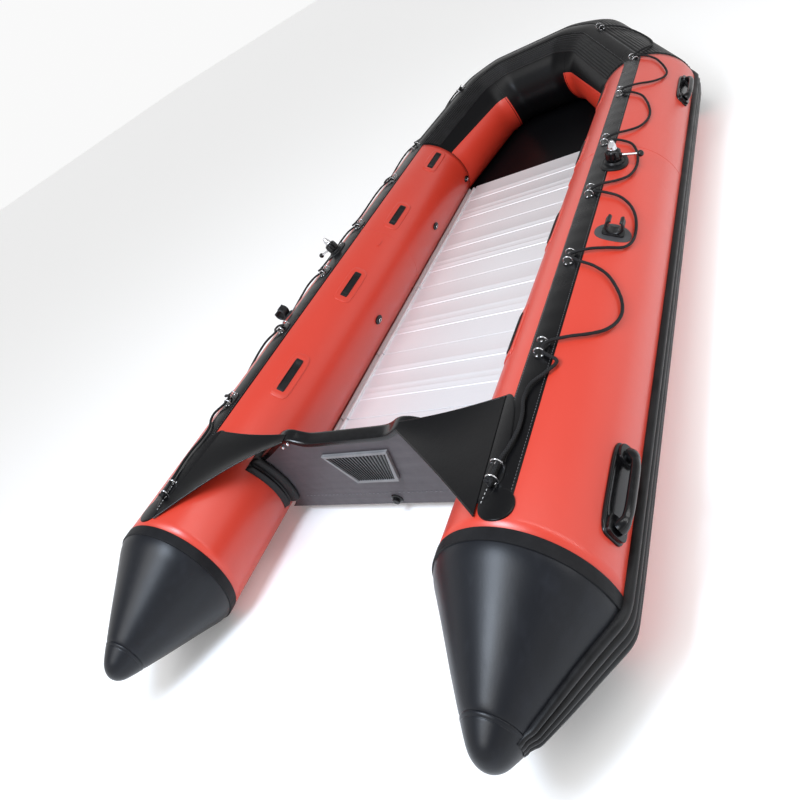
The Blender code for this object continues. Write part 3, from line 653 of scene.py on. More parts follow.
def stand(side, place, angle):
    """Takes (forward, outboard, outward) points, from a spot on the skin, to the row frame."""
    axes = tube_frames(side)[int(place > side_length)]
    turn = math.radians(angle)
    out = axes[1] * math.sin(turn) + axes[2] * math.cos(turn)
    along = axes[1] * math.cos(turn) - axes[2] * math.sin(turn)
    spot = on_tube(side, place, angle)
    return lambda points: spot + np.asarray(points, float) @ np.array([axes[0], along, out])


def heading_of(spot, *direction):
    """A direction of a stand, in the row frame."""
    return spot(direction) - spot((0, 0, 0))


def patch(side, place, angle, length, width, thickness, power=3.0, slant=0.0, emboss=None):
    """A patch glued round the tube: rings of a superellipse, from its middle over the top
    to its rim and back under it. Emboss adds a height for each share of the way out."""
    share = np.array([0, 0.2, 0.4, 0.6, 0.72, 0.8, 0.86, 0.9, 0.94, 0.975, 0.993, 1, 1, 0.6, 0])
    rise = np.array([1, 1, 1, 1, 1, 1, 1, 1, 1, 0.96, 0.75, 0.3, 0, 0, 0]) * thickness
    rise[-3:] = -sink
    if emboss:
        rise[:9] += emboss(share[:9])
    turn = circle(64)
    size = (np.abs(np.cos(turn)) ** power + np.abs(np.sin(turn)) ** power) ** (-1 / power)
    ahead = share[:, None] * size * np.cos(turn) * length / 2
    across = share[:, None] * size * np.sin(turn) * width / 2
    return on_tube(side, place + ahead, angle + slant * ahead + np.degrees(across / tube_radius),
                   rise[:, None])


def wire(line, radius, reference, sides_round=12):
    """A round bar of one or many radii along a line, with flat ends."""
    line = np.asarray(line, float)
    across, up = axes_along(line, reference)
    turn = circle(sides_round)[None, :, None]
    radius = np.broadcast_to(radius, len(line))[:, None, None]
    return line[:, None] + radius * (np.cos(turn) * up[:, None] + np.sin(turn) * across[:, None])


def lathe(profile, place, sides_round=32, way=(2, 0, 1), start=(0, 0, 0)):
    """Turns (radius, height) corners about one axis of a stand, from a start point."""
    profile = np.asarray(profile, float)
    turn = circle(sides_round)[None, :]
    local = np.zeros((len(profile), sides_round, 3))
    local[..., way[0]] = profile[:, 1:] + 0 * turn
    local[..., way[1]] = profile[:, :1] * np.cos(turn)
    local[..., way[2]] = profile[:, :1] * np.sin(turn)
    return place(local + np.asarray(start))


def millimetres(corners):
    """A list of corners that is written in millimetres, in metres."""
    return np.array(corners) / 1000


rivet = millimetres([(0, 0), (4.5, 0), (4.5, 0.8), (3.8, 1.8), (2.2, 2.6), (0, 3)])
for name, side in sides.items():
    feet, loops = [], []
    for place, angle in ring_places:
        spot = stand(side, place, angle)
        feet.append(patch(side, place, angle, 0.088, 0.052, 0.0062, 2.4))
        for shift in (-ring_spread, ring_spread):
            bend = np.linspace(0, math.pi, 25)
            arch = np.column_stack([np.full(25, shift), ring_radius * np.cos(bend),
                                    ring_centre + ring_radius * np.sin(bend)])
            line = np.vstack([(shift, ring_radius, ring_foot), arch, (shift, -ring_radius, ring_foot)])
            loops.append(wire(spot(line), ring_wire, heading_of(spot, 1, 0, 0)))
            for across in (-ring_radius, ring_radius):
                loops.append(lathe(rivet, spot, 16, start=(shift * 1.32, across * 0.55, 0.0055)))
    make_piece(f"{name}_ring_feet", feet, gloss_material)
    make_piece(f"{name}_rings", loops, steel_material, crease=60.0)


# ---- Stitching on the strips -------------------------------------------------
# Two rows of waxed thread along each strip. Each stitch is a short arched bead.
thread = Finish("thread", (0.10, 0.10, 0.10), 0.6)
thread_material = thread.paint(
    Base_Color=thread.blend(thread.noise(60.0), (0.05, 0.05, 0.055, 1.0), (0.22, 0.22, 0.23, 1.0)),
    Normal=thread.bumps(thread.weave(0.0006), 0.0001))


def stitches(line, out, pitch, length=0.6, radius=0.0007):
    """Beads of six sides along a line, each an arch over a share of the pitch."""
    reach = reach_along(line)
    starts = np.arange(pitch / 2, reach[-1] - pitch, pitch)
    share = np.array([0, 0.2, 0.5, 0.8, 1.0])
    beads = []
    for start in starts:
        along = start + share * pitch * length
        middle = np.stack([np.interp(along, reach, column) for column in line.T], 1)
        normal = np.stack([np.interp(along, reach, column) for column in out.T], 1)
        middle += normal * (radius * np.array([-0.9, 0.3, 0.7, 0.3, -0.9]))[:, None]
        beads.append(wire(middle, radius * np.array([0.5, 1, 1, 1, 0.5]), normal[2], 5))
    return beads


for name, side in sides.items():
    beads = []
    for angle in (strip_low + 1.6, strip_high - 1.6):
        station = np.linspace(0.02, 2.0, 300)
        beads += stitches(*with_outs(side, station, angle, strip_thickness + 0.0002, along_tube), 0.011)
    make_piece(f"{name}_strip_stitching", beads, thread_material, crease=180.0)


# ---- The transom -------------------------------------------------------------
# A 45 mm plywood board faced with charcoal laminate, leaning aft, with a rubber capping
# on its top edge, clamp plates for an outboard motor, and stainless bolts at its shoulders.
transom_place, transom_thickness, transom_lean = 0.430, 0.045, math.radians(8.0)
shoulder_height, middle_height, board_bottom = 0.213, 0.180, -0.205
board_gap = 0.0139  # between the tube's skin and the board's curved edge
board_axes = np.array([(0, 1, 0), (-math.sin(transom_lean), 0, math.cos(transom_lean)),
                       (math.cos(transom_lean), 0, math.sin(transom_lean))])


def on_board(points):
    """Takes (port, up, forward) points, from the aft face at tube axis height, to the frame."""
    return (cone_joint + transom_place, 0.0, tube_radius) + np.asarray(points, float) @ board_axes


def plate(outline, low, high, bevel=0.0015, place=on_board):
    """An outline, run anticlockwise, between two heights, with its rims bevelled."""
    outline = np.asarray(outline, float)
    ahead = unit(np.roll(outline, -1, axis=0) - np.roll(outline, 1, axis=0))
    inset = outline + np.stack([-ahead[:, 1], ahead[:, 0]], 1) * bevel
    rows = ((inset, low), (outline, low + bevel), (outline, high - bevel), (inset, high))
    return place(np.stack([np.column_stack([line, np.full(len(line), height)]) for line, height in rows]))


def mirrored(half):
    """A closed outline from its port half, which is listed from the bottom up."""
    half = np.asarray(half, float)
    return np.vstack([half, half[::-1] * (-1, 1)])


def both_ways(half):
    """An open line from port to starboard, from its port half that ends on the middle."""
    half = np.asarray(half, float)
    return np.vstack([half, half[-2::-1] * (-1, 1)])


edge_reach = tube_radius + board_gap
edge_turn = np.linspace(math.pi + math.asin(-board_bottom / edge_reach),
                        math.pi - math.asin(0.110 / edge_reach), 24)
board_edge = np.stack([half_spacing + edge_reach * np.cos(edge_turn),
                       edge_reach * np.sin(edge_turn) - 0.003], 1)
top_line = smooth_line([(0.468, 0.122), (0.400, 0.155), (0.330, 0.193), (0.298, 0.208), (0.266, 0.2135),
                        (0.240, 0.208), (0.214, 0.195), (0.185, 0.184), (0.150, 0.1805),
                        (0.080, middle_height), (0.0, middle_height)], 46)
laminate = Finish("transom_laminate", (0.075, 0.066, 0.076), 0.42, Specular_IOR_Level=0.3)
streak = laminate.noise(9.0, 6.0, stretch=(1.0, 0.35, 6.0))
laminate_material = laminate.dress(
    streak, (0.085, 0.076, 0.085), 0.34 + laminate.noise(30.0, 5.0) * 0.25,
    laminate.noise(520.0) + streak * 1.5, 0.00016, first=(0.048, 0.042, 0.048))
board_half = np.vstack([(0.0, board_bottom), board_edge, top_line[2:-1]])
board_outline = np.vstack([board_half, (0.0, middle_height), (board_half[1:] * (-1, 1))[::-1]])
make_piece("transom", [plate(board_outline, 0.0, transom_thickness, 0.003)], laminate_material,
           ["transom_board"], crease=30.0)
capping_line = both_ways(top_line)
capping_down = unit(np.gradient(capping_line, axis=0))
capping_down = np.stack([-capping_down[:, 1], capping_down[:, 0]], 1)
section = np.array([(0.017, -0.0012), (0.017, -0.0028), (0.0, -0.0034), (-0.0022, -0.0015),
                    (-0.0034, 0.006), (-0.0034, transom_thickness - 0.006),
                    (-0.0022, transom_thickness + 0.0015), (0.0, transom_thickness + 0.0034),
                    (0.017, transom_thickness + 0.0028), (0.017, transom_thickness + 0.0012)])
capping_rows = capping_line[:, None] + capping_down[:, None] * section[None, :, :1]
capping_depth = np.broadcast_to(section[None, :, 1:], (*capping_rows.shape[:2], 1))
capping = np.concatenate([capping_rows, capping_depth], axis=2)
make_piece("transom_capping", [on_board(capping)], gloss_material, crease=50.0)

plate_grey = Finish("motor_plate_plastic", (0.20, 0.20, 0.205), 0.45)
plate_material = plate_grey.dress(
    plate_grey.noise(16.0, 6.0), (0.26, 0.26, 0.265), 0.36 + plate_grey.noise(45.0) * 0.2,
    plate_grey.noise(450.0), 0.00012, first=(0.10, 0.10, 0.105))
plate_half = np.array([(0.095, -0.050), (0.150, 0.115)])


def clamp_plate(half, face, depth, ribs_across):
    """A frame plate with a sunk field of upright ribs. Depth is signed away from the board."""
    outline, low, high = mirrored(half), *sorted((face, face + depth * 0.45))
    skins = [plate(outline, low, high, 0.002)]
    field = mirrored([(half[0][0] - 0.012, half[0][1] + 0.012), (half[1][0] - 0.014, half[1][1] - 0.012)])
    rim_low, rim_high = sorted((face + depth * 0.4, face + depth))
    for start in range(4):
        first, last = outline[start], outline[(start + 1) % 4]
        inner_last, inner_first = field[(start + 1) % 4], field[start]
        skins.append(plate([first, last, inner_last, inner_first], rim_low, rim_high, 0.0015))
    bars = []
    for share in (np.arange(ribs_across) + 0.5) / ribs_across * 2 - 1:
        foot, head = share * field[0][0], share * field[1][0]
        thick = field[0][0] / ribs_across * 0.55
        bars.append(plate([(foot - thick, field[0][1]), (foot + thick, field[0][1]),
                           (head + thick * 1.3, field[1][1]), (head - thick * 1.3, field[1][1])],
                          *sorted((face + depth * 0.4, face + depth * 0.8)), 0.0012))
    return skins, bars


aft_frame, aft_ribs = clamp_plate(plate_half, -0.0003, -0.014, 17)
make_piece("motor_plate_aft_frame", aft_frame, plate_material, ["motor_plate_outer"], crease=30.0)
make_piece("motor_plate_aft_ribs", aft_ribs, gloss_material, crease=30.0)
fore_frame, fore_ribs = clamp_plate(np.array([(0.130, -0.040), (0.130, 0.120)]),
                                    transom_thickness + 0.0003, 0.014, 13)
make_piece("motor_plate_fore_frame", fore_frame, plate_material, ["motor_plate_inner"], crease=30.0)
make_piece("motor_plate_fore_ribs", fore_ribs, gloss_material, crease=30.0)

bolt = millimetres([(0, 0), (9.5, 0), (9.5, 1.2), (6.2, 1.4), (6, 4), (4.5, 5.6), (0, 6)])
bolt_spots = [(side * across, up) for side in (1, -1) for across, up in ((0.262, 0.192), (0.300, 0.176))]
bolts = [lathe([(r, -h) for r, h in bolt], on_board, 24, start=(across, up, -0.003))
         for across, up in bolt_spots]
bolts += [lathe(bolt, on_board, 24, start=(across, up, transom_thickness + 0.003))
          for across, up in bolt_spots]
make_piece("transom_bolts", bolts, steel_material, crease=50.0)
seam_across = np.linspace(-0.45, 0.45, 60)
seam_line = on_board(np.column_stack([seam_across, np.full(60, -0.135), np.full(60, -0.0002)]))
seam_out = np.broadcast_to(-board_axes[2], seam_line.shape)
make_piece("transom_seam", stitches(seam_line, seam_out, 0.020, 0.55, 0.0012), thread_material,
           crease=180.0)
drain_profile = millimetres([(0, 0.3), (24, 0.3), (24, 3), (21.5, 5.5), (16.5, 6.5), (16, 10),
                             (14.5, 10.5), (14.5, 15.5), (12.5, 17.5), (6, 18), (5.5, 16.5), (0, 16.5)])
drain = [lathe([(r, -h) for r, h in drain_profile], on_board, 40, start=(0.0, board_bottom + 0.035, 0.0))]
make_piece("drain", drain, gloss_material, ["drain_plug"], crease=40.0)


# ---- The transom holders -----------------------------------------------------
# Moulded rubber channels, glued round the inner side of each tube, which grip the ends of
# the board between two tall ridges. A lower ridge runs beside each tall one.
holder_low, holder_high = -58.0, -124.0
holder_section = millimetres([(-62, -0.6), (-62, 3), (-54, 6), (-50, 14), (-44, 17), (-38, 14),
                              (-34, 10), (-28, 12), (-20, 34), (-13, 40), (-5, 40), (-0.6, 34),
                              (-0.6, 9)])
board_run = transom_thickness / math.cos(transom_lean)
whole_section = np.vstack([holder_section, (board_run, 0) + holder_section[::-1] * (-1, 1)])
for name, side in sides.items():
    turn = np.linspace(holder_low, holder_high, 60)
    swell = np.clip(np.minimum(turn - holder_high, holder_low - turn) / 4.0, 0, 1) ** 0.5
    height = whole_section[None, :, 1]
    height = np.where(height > 0, height * (0.25 + 0.75 * swell[:, None]), height)
    skin = on_tube(side, transom_place + whole_section[None, :, 0], turn[:, None], height)
    skin[..., 0] -= math.tan(transom_lean) * (skin[..., 2] - tube_radius)
    make_piece(f"{name}_holder", [skin], rubber_material, [f"{name}_transom_holder"],
               crease=45.0)


# ---- The gussets -------------------------------------------------------------
# Sheets of black fabric, 2.6 mm thick, stretched from the transom's shoulders to a sewn
# patch on top of each tube. Their free edges curve inwards and carry a bound hem.
gusset_thickness, gusset_run, gusset_fill = 0.0026, 0.440, 0.52
gusset_aft, foot_length = 0.030, 0.430
across_share = np.linspace(0, 1, 28)[None, :, None]
up_share = np.linspace(0, 1, 26)[:, None, None]
hem_finish = Finish("hem_thread", (0.55, 0.55, 0.55), 0.6)
hem_material = hem_finish.paint(
    Base_Color=hem_finish.blend(hem_finish.noise(80.0), (0.42, 0.42, 0.42, 1.0), (0.7, 0.7, 0.7, 1.0)),
    Normal=hem_finish.bumps(hem_finish.weave(0.0006), 0.0001))
for name, side in sides.items():
    share = across_share[..., 0]
    foot = on_tube(side, gusset_aft + foot_length * share, -9.0 - 7.0 * share, 0.006)
    shoulder = on_board([(side * 0.262, shoulder_height + 0.005, 0.004)])[0]
    head = shoulder + (across_share - 0.5) * np.array([0.034, 0.0, 0.002])
    middle = foot + (head - foot) * up_share
    bulge, hollow = np.sin(math.pi * up_share), {1: 0.045, -1: 0.006}[side]
    middle[..., 0:1] += hollow * bulge * (1 - across_share) ** 2 - 0.010 * bulge * across_share ** 2
    middle[..., 2:3] -= 0.010 * bulge * np.sin(math.pi * across_share)
    down, over = np.gradient(middle, axis=0), np.gradient(middle, axis=1)
    normal = unit(np.cross(down, over))
    normal *= np.sign(normal[..., 2:3])
    half = normal * gusset_thickness / 2
    skin = np.concatenate([middle + half, (middle - half)[:, ::-1]], axis=1)
    corner = [middle[:-1, :-1], middle[:-1, 1:], middle[1:, 1:], middle[1:, :-1]]
    arms = [point - corner[0] for point in corner[1:]]
    area = float(sum(np.linalg.norm(np.cross(a, b), axis=2).sum() / 2 for a, b in zip(arms, arms[1:])))
    sheet = make_piece(f"{name}_gusset", [skin], black_fabric, [f"{name}_transom_gusset"], crease=60.0)
    bases = [patch(side, 0.270, -11.5, 0.400, 0.098, 0.0056, 2.4, slant=-22.0),
             patch(side, 0.066, 3.0, 0.100, 0.098, 0.0050, 2.1)]
    make_piece(f"{name}_gusset_patch", bases, strip_finish, crease=60.0)
    hems = [wire(middle[:, edge], 0.0028, normal[12, edge], 10) for edge in (0, -1)]
    make_piece(f"{name}_gusset_hem", hems, gloss_material, crease=60.0)
    seam_run, seam_turn = np.linspace(0.06, 0.20, 30), np.linspace(-6.5, -3.0, 30)
    rows = stitches(*with_outs(side, seam_run, seam_turn, 0.0062), 0.013, 0.5, 0.0010)
    make_piece(f"{name}_gusset_stitching", rows, hem_material, crease=180.0)


# ---- The floor ---------------------------------------------------------------
# Five hollow aluminium panels laid across the boat, each pressed from planks with sunk
# joints and raised ribs, held along both sides by two-flanged aluminium stringers.
floor_top, floor_depth, floor_side = 0.055, 0.020, 0.500
metal = Finish("floor_aluminium", (0.80, 0.81, 0.82), 0.34, 0.35)
brushed = metal.noise(60.0, 6.0, stretch=(8.0, 0.12, 1.0))
smear = metal.noise(3.0, 5.0)
scratch = (metal.noise(26.0, 8.0, stretch=(1.0, 0.3, 1.0)) * 3.0 - 1.75).capped()
metal_material = metal.dress(
    smear * 0.5 + brushed * 0.3, (0.74, 0.75, 0.77),
    0.34 + brushed * 0.12 + smear * 0.14 - scratch * 0.06,
    brushed + scratch * 0.6, 0.00012, first=(0.88, 0.885, 0.90))
edges = [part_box(f"floor_panel_{number}") for number in range(1, 6)]
sunk, raised, lip = 0.0026, 0.0009, 0.0065


def panel_skin(low, high):
    """The closed section of one panel, run across the boat: flat planks parted by sunk
    joints at two places and by raised ribs at three."""
    length = high.x - low.x
    line = [(0, -0.002), (0.0015, 0.0)]
    for share, lift in ((0.27, -sunk), (0.36, raised), (0.45, raised), (0.66, -sunk), (0.75, raised)):
        middle = share * length
        line += [(middle + reach * lip, rise)
                 for reach, rise in ((-1, 0), (-0.6, lift), (0.6, lift), (1, 0))]
    line += [(length - 0.0015, 0.0), (length, -0.002), (length, -floor_depth + 0.002),
             (length - 0.002, -floor_depth), (0.002, -floor_depth), (0, -floor_depth + 0.002)]
    line = np.array(line)
    across = np.array([low.y, low.y + 0.001, *np.linspace(low.y + 0.05, high.y - 0.05, 9),
                       high.y - 0.001, high.y])
    skin = np.zeros((len(across), len(line), 3))
    skin[..., 0] = low.x + line[None, :, 0]
    skin[..., 1] = across[:, None]
    skin[..., 2] = floor_top + line[None, :, 1]
    return skin


for number, (low, high) in enumerate(edges, start=1):
    make_piece(f"floor_plank_{number}", [panel_skin(low, high)], metal_material,
               [f"floor_panel_{number}"], crease=22.0)
rail_section = millimetres([(0, 0), (45, 0), (45, 30), (42.5, 31.5), (35, 31.5), (33, 30), (32, 16),
                            (13, 16), (12, 30), (10, 31.5), (2.5, 31.5), (0, 30)])
for name, side in sides.items():
    low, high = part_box(f"{name}_floor_stringer")
    rails = []
    joints = [low.x, *(edge[1].x + 0.0015 for edge in edges[:-1]), high.x]
    for aft, fore in zip(joints, joints[1:]):
        along = np.array([aft + 0.003, fore - 0.003])
        skin = np.zeros((2, len(rail_section), 3))
        skin[..., 0] = along[:, None]
        skin[..., 1] = side * (floor_side + rail_section[None, :, 0])
        skin[..., 2] = low.z + rail_section[None, :, 1]
        rails.append(skin)
    make_piece(f"{name}_stringer", rails, metal_material, [f"{name}_floor_stringer"], crease=25.0)


# ---- The bottom --------------------------------------------------------------
# A sheet of the black fabric under the floor, drawn down in the middle over a keel and
# glued to the tubes' lower sides and to the underside of the nose.
bottom_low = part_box("hull_bottom")[0]
floor_under = floor_top - floor_depth - 0.0005
bottom_fore = side_length + bow_reach * 0.93
bottom_rings = []
run_share = np.clip((np.linspace(3.085, bottom_fore, 16) - side_length) / bow_reach, 0, 1)
for place, share in [(0.520, 0.0), (1.500, 0.0), *zip(side_length + bow_reach * run_share, run_share)]:
    rise = bow_rise * share
    half = half_spacing - (half_spacing - nose_half) * share - 0.112
    keel = 0.100 - 0.040 * min(share * 3, 1)
    depth = bottom_low.z + max(0.0, (share - 0.15)) * 0.10
    low_edge = floor_under + rise - 0.012
    across = np.linspace(-1, 1, 41)
    dish = np.clip((np.abs(across) * half - keel) / (half - keel), 0, 1)
    under = depth + (low_edge - depth) * (0.15 * dish + 0.85 * dish ** 2)
    top = np.full(41, floor_under + rise)
    bottom_rings.append(np.column_stack([np.full(82, cone_joint + place),
                                         np.append(across, across[::-1]) * half, np.append(under, top)]))
make_piece("bottom_skin", [np.array(bottom_rings)], black_fabric, ["hull_bottom"], crease=40.0)

# ---- The rowlocks ------------------------------------------------------------
# A moulded swivel turns on a spindle that stands on a rubber foot glued to the tube. It
# has a fluted black barrel, a stainless tip, and a stainless pin with a black ball for the oar.
rowlock_place, rowlock_angle = 1.830, 16.0
flute_count = 9


def barrel(profile, place, flutes=0, depth=0.0, sides_round=90):
    """Turns (height, radius) points about the stand's outward axis; flutes narrow it."""
    profile = np.asarray(profile, float)
    turn = circle(sides_round)[None, :]
    groove = 1 - depth * (np.clip(np.cos(flutes * turn), 0.55, 1) - 0.55) / 0.45
    height = profile[:, :1]
    middle = np.clip(np.minimum(height - height[0], height[-1] - height) / 0.008, 0, 1)
    radius = profile[:, 1:] * (1 - middle * (1 - groove))
    return place(np.stack([radius * np.cos(turn), radius * np.sin(turn), height + 0 * turn], -1))


for name, side in sides.items():
    spot = stand(side, rowlock_place, rowlock_angle)
    foot = patch(side, rowlock_place, rowlock_angle, 0.150, 0.110, 0.009, 2.2,
                 emboss=lambda share: 0.0012 * (np.abs(share - 0.82) < 0.05))
    post = barrel([(0.004, 0.0), (0.004, 0.040), (0.009, 0.040), (0.012, 0.0375), (0.016, 0.034),
                   (0.016, 0.0)], spot)
    make_piece(f"{name}_rowlock_foot", [foot, post], rubber_material, [f"{name}_rowlock_base"],
               crease=35.0)
    bend = np.linspace(0, math.pi, 20)
    hook = np.column_stack([0.052 + 0.010 * np.sin(bend), 0.012 * np.cos(bend) - 0.020,
                            np.full(20, 0.0135)])
    hook = np.vstack([[(0.030, -0.008, 0.0125)], hook, [(0.034, -0.032, 0.0125)]])
    make_piece(f"{name}_rowlock_hook", [wire(spot(hook), 0.0018, heading_of(spot, 0, 0, 1))],
               steel_material, crease=60.0)
    shell = rounded([(0.017, 0.0), (0.017, 0.026), (0.020, 0.031), (0.024, 0.032), (0.055, 0.032),
                     (0.060, 0.029), (0.064, 0.0245), (0.066, 0.019), (0.066, 0.0)])
    body = barrel(shell, spot, flute_count, 0.13)
    tip = rounded([(0.0655, 0.0), (0.0655, 0.0185), (0.069, 0.0185), (0.070, 0.0175), (0.082, 0.0165),
                   (0.096, 0.011), (0.104, 0.0075), (0.1058, 0.004), (0.106, 0.0)])
    tip = barrel(tip, spot, sides_round=48)
    pin = np.column_stack([np.zeros(2), (0.020, 0.094), np.full(2, 0.036)])
    pin_skin = wire(spot(pin), 0.0058, heading_of(spot, 1, 0, 0), 24)
    ball = [(-0.0135 * math.cos(a) + 0.105, 0.0142 * math.sin(a)) for a in np.linspace(0, math.pi, 18)]
    ball_skin = lathe([(r, h) for h, r in ball], spot, 30, way=(1, 0, 2), start=(0, 0, 0.036))
    pin_rim = lathe([(0.0, 0.029), (0.0095, 0.029), (0.0095, 0.036), (0.0, 0.036)], spot, 24,
                    way=(1, 0, 2), start=(0, 0, 0.036))
    swivel = make_piece(f"{name}_rowlock_barrel", [body, ball_skin, pin_rim], gloss_material,
                        [f"{name}_rowlock_swivel"], crease=35.0)
    bright = make_piece(f"{name}_rowlock_pin", [tip, pin_skin], steel_material, crease=40.0)
    for piece in (swivel, bright):
        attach(piece, f"{name}_rowlock")


# ---- The oar clips -----------------------------------------------------------
# Springy plastic jaws with rolled lips, moulded on a foot that sits on an oval patch of
# grey fabric. The oar's shaft snaps in between them.
clip_place, clip_angle = 1.300, 31.0
jaw_outer, jaw_inner, mouth = 0.034, 0.024, 105.0
grey_fabric = fabric("grey_fabric", (0.035, 0.035, 0.038), (0.09, 0.09, 0.095), 0.45)
clip_finish = Finish("clip_plastic", (0.006, 0.006, 0.0065), 0.36, Specular_IOR_Level=0.3)
clip_material = clip_finish.dress(
    (clip_finish.noise(60.0, 6.0) * 2 - 0.9).capped() * 0.6, (0.05, 0.05, 0.055),
    0.30 + clip_finish.noise(90.0) * 0.2, clip_finish.noise(420.0), 0.00014)
sweep_turn = np.linspace(math.radians(90 + mouth / 2), math.radians(450 - mouth / 2), 40)
lip_turn = np.linspace(0, math.pi, 9)[1:-1]
middle_radius, half_wall = (jaw_outer + jaw_inner) / 2, (jaw_outer - jaw_inner) / 2


def jaw_lip(angle, start, way):
    """A round lip on the end of a jaw, half as thick again as the wall."""
    centre = middle_radius * np.array([math.cos(angle), math.sin(angle)])
    turn = start + way * lip_turn
    return centre + half_wall * 1.7 * np.stack([np.cos(turn), np.sin(turn)], 1)


jaws = np.vstack([jaw_outer * np.stack([np.cos(sweep_turn), np.sin(sweep_turn)], 1),
                  jaw_lip(sweep_turn[-1], sweep_turn[-1], 1),
                  jaw_inner * np.stack([np.cos(sweep_turn[::-1]), np.sin(sweep_turn[::-1])], 1),
                  jaw_lip(sweep_turn[0], sweep_turn[0] + math.pi, 1)])
for name, side in sides.items():
    spot = stand(side, clip_place, clip_angle)

    def on_clip(points):
        """Takes (outboard, outward, forward) points of the jaws to the row frame."""
        return spot(points[..., [2, 0, 1]] + (0, 0, jaw_outer + 0.003))
    clip = plate(jaws, -0.023, 0.023, 0.003, on_clip)
    foot = patch(side, clip_place, clip_angle, 0.056, 0.078, 0.0085, 3.5)
    make_piece(f"{name}_clip", [clip, foot], clip_material, [f"{name}_oar_clip"], crease=35.0)
    make_piece(f"{name}_clip_patch", [patch(side, clip_place, clip_angle, 0.112, 0.130, 0.0016, 2.2)],
               grey_fabric)


# ---- The carry handles -------------------------------------------------------
# Moulded rubber handles, on a rimmed foot glued to the outer side of each tube: a smooth
# round grip that swells into two domed lugs.
handle_places, handle_angle = {"aft": 0.240, "forward": 2.770}, 72.0
for name, side in sides.items():
    for end, place in handle_places.items():
        spot = stand(side, place, handle_angle)
        foot = patch(side, place, handle_angle, 0.290, 0.080, 0.007, 5.0,
                     emboss=lambda share: 0.0018 * ((share > 0.78) & (share < 0.92)))
        along = np.linspace(-0.115, 0.115, 90)
        lift = 0.006 + (0.042 - 0.006) * np.clip((1 - np.abs(along / 0.118) ** 5), 0, 1) ** 0.5
        thick = 0.0125 + 0.006 * np.clip((np.abs(along) - 0.09) / 0.025, 0, 1)
        grip = wire(spot(np.column_stack([along, np.zeros(90), lift])), thick,
                    heading_of(spot, 0, 1, 0), 24)
        lugs = [patch(side, place + shift, handle_angle, 0.058, 0.060, 0.018)
                for shift in (-0.112, 0.112)]
        make_piece(f"{name}_{end}_grip", [foot, grip, *lugs], gloss_material,
                   [f"{name}_{end}_handle"], crease=40.0)


# ---- The seat sockets --------------------------------------------------------
# Patches of red fabric on the inner shoulder of each tube, with a raised rim, that hold a
# black rubber channel for the ends of a bench.
socket_places, socket_angle = (0.845, 1.515, 2.185, 2.855), -43.5
for name, side in sides.items():
    for number, place in enumerate(socket_places, start=1):
        pad = patch(side, place, socket_angle, 0.270, 0.090, 0.0028, 5.0,
                    emboss=lambda share: 0.0014 * np.exp(-((share - 0.86) / 0.05) ** 2))
        make_piece(f"{name}_socket_{number}", [pad], red_fabric,
                   [f"{name}_seat_pad_{number}"], crease=50.0)
    channels = [patch(side, place, socket_angle, 0.200, 0.036, 0.0052, 14.0,
                      emboss=lambda share: 0.0016 * (share > 0.75) - 0.0018 * (share < 0.75))
                for place in socket_places]
    make_piece(f"{name}_socket_channels", channels, rubber_material, crease=35.0)
    ridge = patch(side, 1.897, -44.0, 0.060, 0.016, 0.0035, 2.4)
    make_piece(f"{name}_ridge_mark", [ridge], red_fabric, crease=50.0)


# ---- Valves and lashing eyes -------------------------------------------------
# A screw-down air valve near the transom on each tube, and small black eyes with a
# stainless ring, glued low on the inner side.
valve_profile = millimetres([(0, 0.5), (34, 0.5), (34, 3), (31, 5.5), (26.5, 6), (25.5, 9.5),
                             (24, 10.5), (22.5, 10.5), (21.5, 15), (20, 16.5), (12, 17), (11, 15),
                             (0, 15)])
for name, side in sides.items():
    spot = stand(side, 0.585, -100.0)
    make_piece(f"{name}_valve", [lathe(valve_profile, spot, 40)], gloss_material,
               [f"{name}_air_valve"], crease=35.0)
    eyes, loops = [], []
    for place, angle in ((1.457, -97.0), (2.357, -100.0), (2.979, -106.0)):
        spot = stand(side, place, angle)
        eyes.append(patch(side, place, angle, 0.060, 0.034, 0.008, 2.2))
        bend = np.linspace(0, math.tau, 33)
        loop = np.column_stack([0.012 * np.cos(bend), 0.008 * np.sin(bend) - 0.004,
                                0.0105 + 0.002 * np.sin(bend)])
        loops.append(wire(spot(loop), 0.0020, heading_of(spot, 0, 0, 1)))
    make_piece(f"{name}_lashing_eyes", eyes, gloss_material, crease=40.0)
    make_piece(f"{name}_lashing_rings", loops, steel_material, crease=60.0)


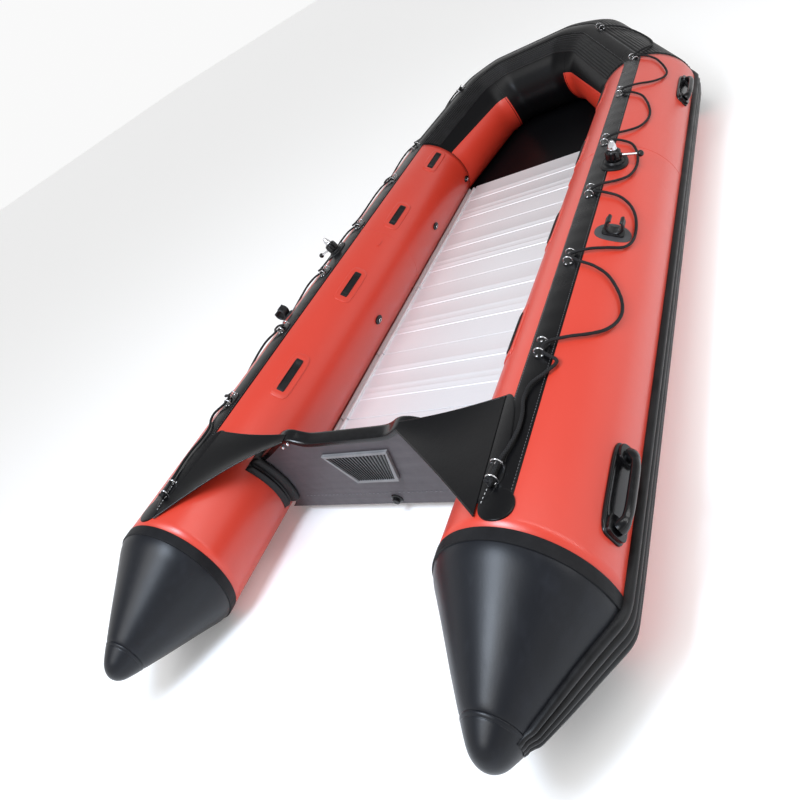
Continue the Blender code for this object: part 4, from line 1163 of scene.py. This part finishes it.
# ---- The studio --------------------------------------------------------------
# A plain white floor under a bright white room, with a long soft light over the starboard
# side and a smaller, bluish one over the stern.
stage_size = 60.0
stage_corners = [(x * stage_size, y * stage_size, 0.0) for x, y in ((-1, -1), (1, -1), (1, 1), (-1, 1))]
floor_mesh = bpy.data.meshes.new("studio_floor")
floor_mesh.from_pydata(stage_corners, [], [(0, 1, 2, 3)])
floor_finish = Finish("studio_floor", (0.90, 0.90, 0.90), 0.8, Emission_Color=(1.0, 1.0, 1.0, 1.0),
                      Emission_Strength=0.14)
floor_mesh.materials.append(floor_finish.material)
studio_floor = bpy.data.objects.new("studio_floor", floor_mesh)
bpy.context.scene.collection.objects.link(studio_floor)

world = bpy.data.worlds.new("studio")
bpy.context.scene.world = world
world.use_nodes = True
background = world.node_tree.nodes["Background"]
height = world.node_tree.nodes.new("ShaderNodeSeparateXYZ")
direction = world.node_tree.nodes.new("ShaderNodeTexCoord")
fade = world.node_tree.nodes.new("ShaderNodeMapRange")
fade.interpolation_type = "SMOOTHSTEP"
for key, value in (("From Min", 0.30), ("From Max", 0.60), ("To Min", 0.95), ("To Max", 0.34)):
    fade.inputs[key].default_value = value
world.node_tree.links.new(direction.outputs["Generated"], height.inputs[0])
world.node_tree.links.new(height.outputs["Z"], fade.inputs["Value"])
world.node_tree.links.new(fade.outputs["Result"], background.inputs["Strength"])
background.inputs["Color"].default_value = (1.0, 1.0, 1.0, 1.0)
bpy.context.scene.view_settings.view_transform = "Standard"


def soft_light(name, kind, place, aim, strength, **sizes):
    """A soft light that faces a point from its place."""
    lamp = bpy.data.lights.new(name, kind)
    lamp.energy = strength
    for size, value in sizes.items():
        setattr(lamp, size, value)
    light = bpy.data.objects.new(name, lamp)
    turn = (Vector(aim) - Vector(place)).to_track_quat("-Z", "Y")
    light.matrix_world = Matrix.Translation(place) @ turn.to_matrix().to_4x4()
    bpy.context.scene.collection.objects.link(light)


soft_light("skylight", "SUN", (-3.2, 0.6, 5.0), (0.0, 0.0, 0.0), 1.15, angle=math.radians(34.0))
soft_light("side_light", "AREA", (-0.4, -2.6, 3.2), (0.3, -0.6, 0.2), 75.0, shape="RECTANGLE",
           size=0.7, size_y=6.0)
soft_light("stern_light", "AREA", (-2.9, -0.1, 3.2), (-1.85, -0.2, 0.3), 95.0, shape="RECTANGLE",
           size=0.8, size_y=1.5, color=(0.74, 0.85, 1.0))
